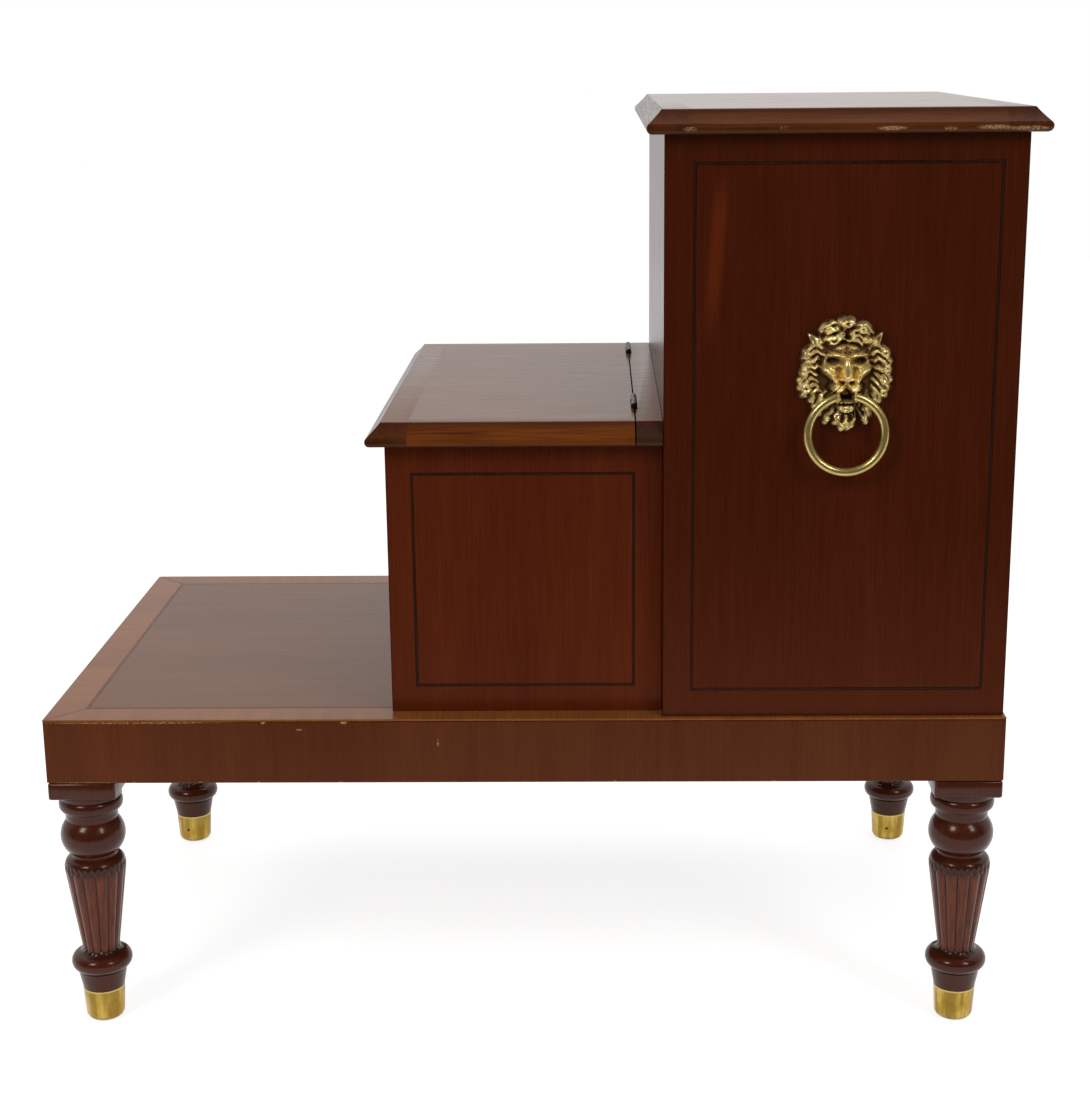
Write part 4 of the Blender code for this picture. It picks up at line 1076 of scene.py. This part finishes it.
def curl_height(across, up, x, z, radius, top):
    """A curl rolled inwards: a raised turn round a small pit."""
    dx, dz = across - x, up - z
    distance = np.hypot(dx, dz)
    wound = distance / radius + 0.16 * np.arctan2(dz, dx if x > 0 else -dx) / np.pi
    turn = np.abs(np.sin(np.pi * np.clip(wound * 1.12 - 0.06, 0, 1)))
    height = (0.55 * top + 0.45 * top * turn) * dome(distance / radius) ** 0.35
    return np.where(distance < radius, height, 0)


def ear_height(across, up, root, tip):
    """A pointed ear, hollow in the middle."""
    distance, _, share = along(across, up, (root, tip))
    width = ear_width(share)
    inside = dome(distance / width)
    return inside * 7.0 - 2.4 * np.exp(-((distance / (0.42 * width)) ** 2)) * (inside > 0.1)


def face_height(across, up):
    """The lion's face: what each bell adds or takes away is named beside it."""
    at = partial(bell, across, up)
    face = 3.6 + 6.8 * at(0, 3.5, 14.6, 18.0, 1.6)
    face += 1.6 * at(0, -2, 6.5, 11)
    face += 0.6 * at(0, 22.5, 7, 3)
    for side in (-1, 1):
        face += 3.0 * at(side * 4.4, 18.8, 3.0, 1.9, 1.3)  # brow
        face -= 6.2 * at(side * 8.6, 9.6, 4.2, 2.1, 1.6)  # eye socket
        face += 1.2 * at(side * 8.2, 8.6, 1.9, 0.9, 1.2)  # eye
        face -= 4.0 * at(side * 5.7, 3.6, 1.7, 4.8, 1.2)  # beside the nose
        face += 7.0 * at(side * 5.8, -8.3, 4.7, 3.8, 2.2)  # muzzle
        face += 3.0 * at(side * 3.3, -2.0, 2.0, 1.5, 1.4)  # wing of the nose
        face -= 2.2 * at(side * 2.9, -4.5, 1.8, 0.6)  # nostril
    face += 5.2 * at(0, 4.6, 3.2, 9.6, 2.2)  # bridge of the nose
    face += 1.3 * at(0, -2.4, 3.0, 1.7, 1.4)  # tip of the nose
    face -= 1.6 * at(0, 18.2, 1.1, 2.4)  # crease between the brows
    face -= 2.6 * at(0, -8.8, 1.0, 2.8)  # crease under the nose
    for top, half, points in RIDGES:
        for side in (-1, 1):
            line = [(side * -x, z) for x, z in points]
            face += top * np.exp(-((along(across, up, line)[0] / half) ** 2))
    return face


def mask_height(across, up):
    """Height of the mask over the panel, in millimetres."""
    mane = np.full(across.shape, 1.8) + 1.2 * bell(across, up, 0, 2, 28, 34, 2)
    # Waves that bend the locks out of their even fan
    side = across + 0.9 * np.sin(0.55 * up + 0.22 * across) + 0.3 * np.sin(1.3 * up)
    rise = up + 1.0 * np.sin(0.62 * across + 0.25 * up + 0.8) + 0.3 * np.sin(1.4 * across)
    for width, top, *curve in LOCKS:
        mane = np.maximum(mane, lock_height(side, rise, width, top, bent(*curve)))
    for curl in CURLS:
        mane = np.maximum(mane, curl_height(across, up, *curl))
    for ear in EARS:
        mane = np.maximum(mane, ear_height(across, up, *ear))
    # The face narrows under the cheekbones, where the muzzle stands out of the mane
    half = 9.6 + 7.8 * eased(np.clip((up + 6) / 9, 0, 1))
    rim = np.hypot(across / half, (up - 3.6) / 18.2)
    rim = np.minimum(rim, np.hypot(across / 11.4, (up + 8.2) / 5.4))
    blend = eased(np.clip((rim - 0.90) / 0.16, 0, 1))
    face = face_height(across, up) * np.clip(1.12 - 1.6 * np.clip(rim - 0.80, 0, 1), 0, 1)
    height = face * (1 - blend) + mane * blend
    height -= 1.6 * np.exp(-(((rim - 1.04) / 0.10) ** 2)) * (up < 12) * (up > -16)
    return jaw_height(across, up, height)


def jaw_height(across, up, height):
    """The open mouth: a post at each side for the ring, the bar of the jaw, the lower lip."""
    wide = np.abs(across)
    under = (wide < 7.4) & (up < -12.6) & (up > -27.0)
    between = (wide < 0.6 + (-9.2 - up) * 1.5) & (wide < 4.4) & (up > -17.0)
    depth = np.where(up > -17.4, 4.6, 10.6)
    floor = np.where(under | between, np.minimum(height, depth), height)
    posts = np.where((up < -11.4) & (up > -18.4), 14.8 * dome((wide - 5.7) / 1.8), 0)
    bar = 15.4 * dome((up + 17.5) / 1.4) * (wide < 7.2)
    round_lip = np.hypot(across / 6.6, (up + 20.6) / 5.0)
    lip = 14.8 * np.clip(1.5 * dome(round_lip), 0, 1) * (up < -19.6)
    lip -= 0.9 * bell(across, up, 0, -21.8, 3.6, 1.5, 2) * (1 + 0.35 * np.cos(2.4 * across))
    made = np.maximum.reduce([floor, posts, bar, lip])
    return np.where((wide < 8.6) & (up < -9.4) & (up > -27.2), made, height)


def mask_reach(angle):
    """Distance from the middle to the rim: the far side of whatever lock lies that way."""
    across, up = np.sin(angle), np.cos(angle)
    reach = np.full(angle.shape, 23.0)
    rims = [(x, z, radius) for x, z, radius, _ in CURLS]
    for width, _, *curve in LOCKS:
        for step, (x, z) in enumerate(bent(*curve)):
            rims.append((x, z, lock_width(width, step / LOCK_STEPS)))
    for root, tip in EARS:
        for step in range(LOCK_STEPS + 1):
            share = step / LOCK_STEPS
            x, z = (a + share * (b - a) for a, b in zip(root, tip))
            rims.append((x, z, ear_width(share)))
    for x, z, radius in rims:
        ahead = across * x + up * z
        off = np.abs(across * z - up * x)
        chord = np.sqrt(np.clip(radius * radius - off * off, 0, None))
        reach = np.maximum(reach, np.where((off < radius) & (ahead > 0), ahead + chord, 0))
    return reach


def smoothed(values, times):
    """Averages each place with its neighbours, round the spokes and along them."""
    for _ in range(times):
        padded = np.pad(values, ((1, 1), (0, 0)), mode="edge")
        along_spoke = (padded[:-2] + padded[2:]) / 2
        round_spokes = (np.roll(values, 1, 1) + np.roll(values, -1, 1)) / 2
        values = (2 * values + along_spoke + round_spokes) / 4
    return values


def make_mask(name, side, material):
    """A relief on spokes round the middle of the mask, closed behind by its rim."""
    low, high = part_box(f"lion_mask_{name}")
    ring_low, ring_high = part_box(f"ring_{name}")
    middle_x = (ring_low.x + ring_high.x) / 2 + MASK_SHIFT
    middle_z = ring_high.z + MASK_OVER_RING
    wall = high.y if side < 0 else low.y
    angle = 2 * np.pi * np.arange(MASK_SPOKES) / MASK_SPOKES
    share = np.linspace(0, 1, MASK_RINGS + 1)[1:, None]
    radius = share * mask_reach(angle)[None, :]
    across, up = radius * np.sin(angle), radius * np.cos(angle)
    height = smoothed(mask_height(across, up), 2)
    # Beside the jaw the mane stays low, where the ring passes over it
    limit = np.where(np.abs(across) > 7.6, 7.4, 99.0)
    height = np.where(up < -10.6, np.minimum(height, limit), height)
    height = height * np.sqrt(np.clip(1 - share ** 26, 0, 1))
    flat = 4.4 + 4.4 * bell(across, up, 0, 2, 17, 16, 1.6)
    # Dirt lies where the relief is under its surroundings or near the ground of the mane, and
    # hands have polished the face
    hollow = np.clip((smoothed(height, 40) - height) * 0.50 + 0.20, 0, 1)
    hollow = np.maximum(hollow, np.clip((flat - height) / 4.0, 0, 0.62))
    polished = bell(across, up, 0, 0.5, 11.0, 15.0, 1.6)
    hollow = np.clip(hollow * 0.72 + 0.24 * (1 - polished) - 0.06 * polished, 0, 1)
    place = np.stack([across, height, up], axis=-1).reshape(-1, 3) / 1000
    top = mask_height(np.zeros(1), np.zeros(1))[0] / 1000
    points = np.vstack([place, [(0, top, 0)]])
    points[:, 1] *= side
    points[:, 0] *= -side
    points += (middle_x, wall, middle_z)
    centre, rim = len(points) - 1, (MASK_RINGS - 1) * MASK_SPOKES
    faces = []
    for base in range(0, rim, MASK_SPOKES):
        out = base + MASK_SPOKES
        for spoke in range(MASK_SPOKES):
            after = (spoke + 1) % MASK_SPOKES
            faces.append((base + spoke, out + spoke, out + after, base + after))
    for spoke in range(MASK_SPOKES):
        faces.append((centre, spoke, (spoke + 1) % MASK_SPOKES))
    faces.append(tuple(range(rim, rim + MASK_SPOKES)))
    mesh = bpy.data.meshes.new(f"lion_{name}_relief")
    mesh.from_pydata([tuple(point) for point in points], [], faces)
    bm = bmesh.new()
    bm.from_mesh(mesh)
    piece = solid(f"lion_{name}", bm, material, "base", "brass", f"lion_mask_{name}", smooth=60)
    mark(piece, np.append(hollow.reshape(-1), 0.0).astype(np.float32))
    bpy.data.meshes.remove(mesh)


def aged_brass(name, bright, mid, dark=None):
    """Blotched brass; with a dark colour it is tarnished in the hollows of the relief."""
    made = Finish(name, {"Metallic": 0.9})
    blotch = made.noise(made.place, 150, detail=3, rough=0.6)
    colour = made.ramp(blotch, (0.34, mid), (0.64, bright))
    roughness = made.spread(blotch, 0.3, 0.7, 0.34, 0.26)
    if dark:
        uneven = made.math("SUBTRACT", made.noise(made.place, 900, detail=2), 0.5)
        share = made.math("MULTIPLY_ADD", uneven, 0.15, made.hollow())
        share = made.spread(share, 0.12, 0.70)
        colour = made.mix(share, colour, dark)
        roughness = made.mix_value(share, roughness, 0.60)
    return made.wire(colour, roughness, made.bump(blotch, 0.00004, 0.1))


def make_ring(name, material):
    """An open ring of round wire, its two ends in the sides of the lion's mouth."""
    low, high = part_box(f"ring_{name}")
    radius = (high.x - low.x - high.y + low.y) / 2
    centre = Vector((
        (low.x + high.x) / 2 + RING_SHIFT,
        (low.y + high.y) / 2,
        low.z + (high.y - low.y) / 2 + radius,
    ))
    first = math.asin(RING_MOUTH / radius)
    steps, sides = 150, 28
    bm = bmesh.new()
    rings = []
    for step in range(steps + 1):
        angle = first + (2 * math.pi - 2 * first) * step / steps
        out = Vector((math.sin(angle), 0, math.cos(angle)))
        middle = centre + radius * out
        ring = []
        for index in range(sides):
            turn = 2 * math.pi * index / sides
            offset = math.cos(turn) * out + math.sin(turn) * Vector((0, 1, 0))
            ring.append(bm.verts.new(middle + RING_WIRE * offset))
        rings.append(ring)
    join_rings(bm, rings)
    solid(f"pull_ring_{name}", bm, material, f"ring_{name}", "brass", f"ring_{name}")


def make_brass():
    mask = aged_brass("mask_brass", (1.0, 0.82, 0.38), (0.80, 0.58, 0.20), (0.150, 0.070, 0.028))
    ring = aged_brass("ring_brass", (0.62, 0.48, 0.175), (0.50, 0.365, 0.12))
    for name, side in (("right", -1), ("left", 1)):
        make_mask(name, side, mask)
        make_ring(name, ring)
        dress(f"mask_bolt_{name}", ring)


# Hinges

KNUCKLE_RADIUS, BORE_RADIUS, PIN_RADIUS = 0.0021, 0.00145, 0.0013
KNUCKLE_GAP = 0.0001  # left at each end of a knuckle
PIN_PAST = 0.0002  # the pin's ends outside the knuckles
LEAF_THICK, LEAF_BEVEL, WEB_BEVEL = 0.0011, 0.0002, 0.00015
LEAF_FROM_AXIS = {"middle": 0.0005, "top": 0.00015}  # half the gap between two leaves
LEAF_STOP = 0.0024  # the plates end this far from the axis
WEB_START, WEB_STOP = 0.0040, 0.0016  # webs run from the plate into the knuckle's wall


def bronzed():
    made = Finish("bronzed_steel", {"Metallic": 1.0})
    blotch = made.noise(made.place, 320, detail=4)
    colour = made.ramp(blotch, (0.35, (0.020, 0.016, 0.013)), (0.72, (0.095, 0.074, 0.050)))
    roughness = made.spread(blotch, 0.3, 0.7, 0.48, 0.30)
    return made.wire(colour, roughness, made.bump(blotch, 0.00005, 0.3))


def barrel_part(bm, x, z, radius, start, end, bore=None):
    """A knuckle or pin along Y with rounded ends; a knuckle has a bore for the pin."""
    steps = 28
    lip = min(radius * 0.22, (end - start) / 4)
    profile = [
        (radius - lip, start),
        (radius - lip * 0.3, start + lip * 0.3),
        (radius, start + lip),
        (radius, end - lip),
        (radius - lip * 0.3, end - lip * 0.3),
        (radius - lip, end),
    ]
    if bore:
        profile += [(bore, end), (bore, start)]
    rings = []
    for reach, y in profile:
        ring = []
        for step in range(steps):
            angle = 2 * math.pi * step / steps
            ring.append(bm.verts.new((x + reach * math.cos(angle), y, z + reach * math.sin(angle))))
        rings.append(ring)
    if bore:
        rings.append(rings[0])
    join_rings(bm, rings, capped=not bore)


def make_leaf(kind, prefix, leaf, axis, start, knuckle, steel):
    """A plate and its knuckles: the middle lid's hang under the axis, the top's lie before it."""
    node = f"{prefix}_{leaf}"
    x, z = axis
    low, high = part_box(node)
    moving, upright = leaf == "lid_leaf", kind == "middle"
    body = f"{kind}_lid" if moving else "base"
    way = 1 if moving != upright else -1
    inner = (x if upright else z) + way * LEAF_FROM_AXIS[kind]
    flat0, flat1 = sorted((inner, inner + way * LEAF_THICK))

    def plate(y0, y1, first, last, bevel, segments):
        if upright:
            corners = ((flat0, y0, first), (flat1, y1, z - last))
        else:
            corners = ((first, y0, flat0), (x - last, y1, flat1))
        rounded_box(bm, *corners, bevel, segments)

    bm = bmesh.new()
    plate(low.y, high.y, low.z if upright else low.x, LEAF_STOP, LEAF_BEVEL, 2)
    web_start = (z if upright else x) - WEB_START
    for index in ((1, 3) if moving else (0, 2, 4)):
        first = start + index * knuckle + KNUCKLE_GAP
        last = start + (index + 1) * knuckle - KNUCKLE_GAP
        barrel_part(bm, x, z, KNUCKLE_RADIUS, first, last, BORE_RADIUS)
        plate(first, last, web_start, WEB_STOP, WEB_BEVEL, 1)
    solid(f"fine_{node}", bm, steel, body, "bronzed_steel", node)


def make_hinges():
    steel = bronzed()
    for kind, leaves in (
        ("middle", ("lid_leaf", "strip_leaf")),
        ("top", ("case_leaf", "lid_leaf")),
    ):
        for name in ("right", "left"):
            prefix = f"{kind}_hinge_{name}"
            low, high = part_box(f"{prefix}_pin")
            axis = ((low.x + high.x) / 2, (low.z + high.z) / 2)
            for leaf in leaves:
                make_leaf(kind, prefix, leaf, axis, low.y, (high.y - low.y) / 5, steel)
            bm = bmesh.new()
            barrel_part(bm, *axis, PIN_RADIUS, low.y - PIN_PAST, high.y + PIN_PAST)
            solid(f"fine_{prefix}_pin", bm, steel, "base", "bronzed_steel", f"{prefix}_pin")


make_camera()
make_floor()
make_world()
make_lights()
dress_boards()
make_legs()
make_top_lid()
make_middle_lid()
make_brass()
make_hinges()
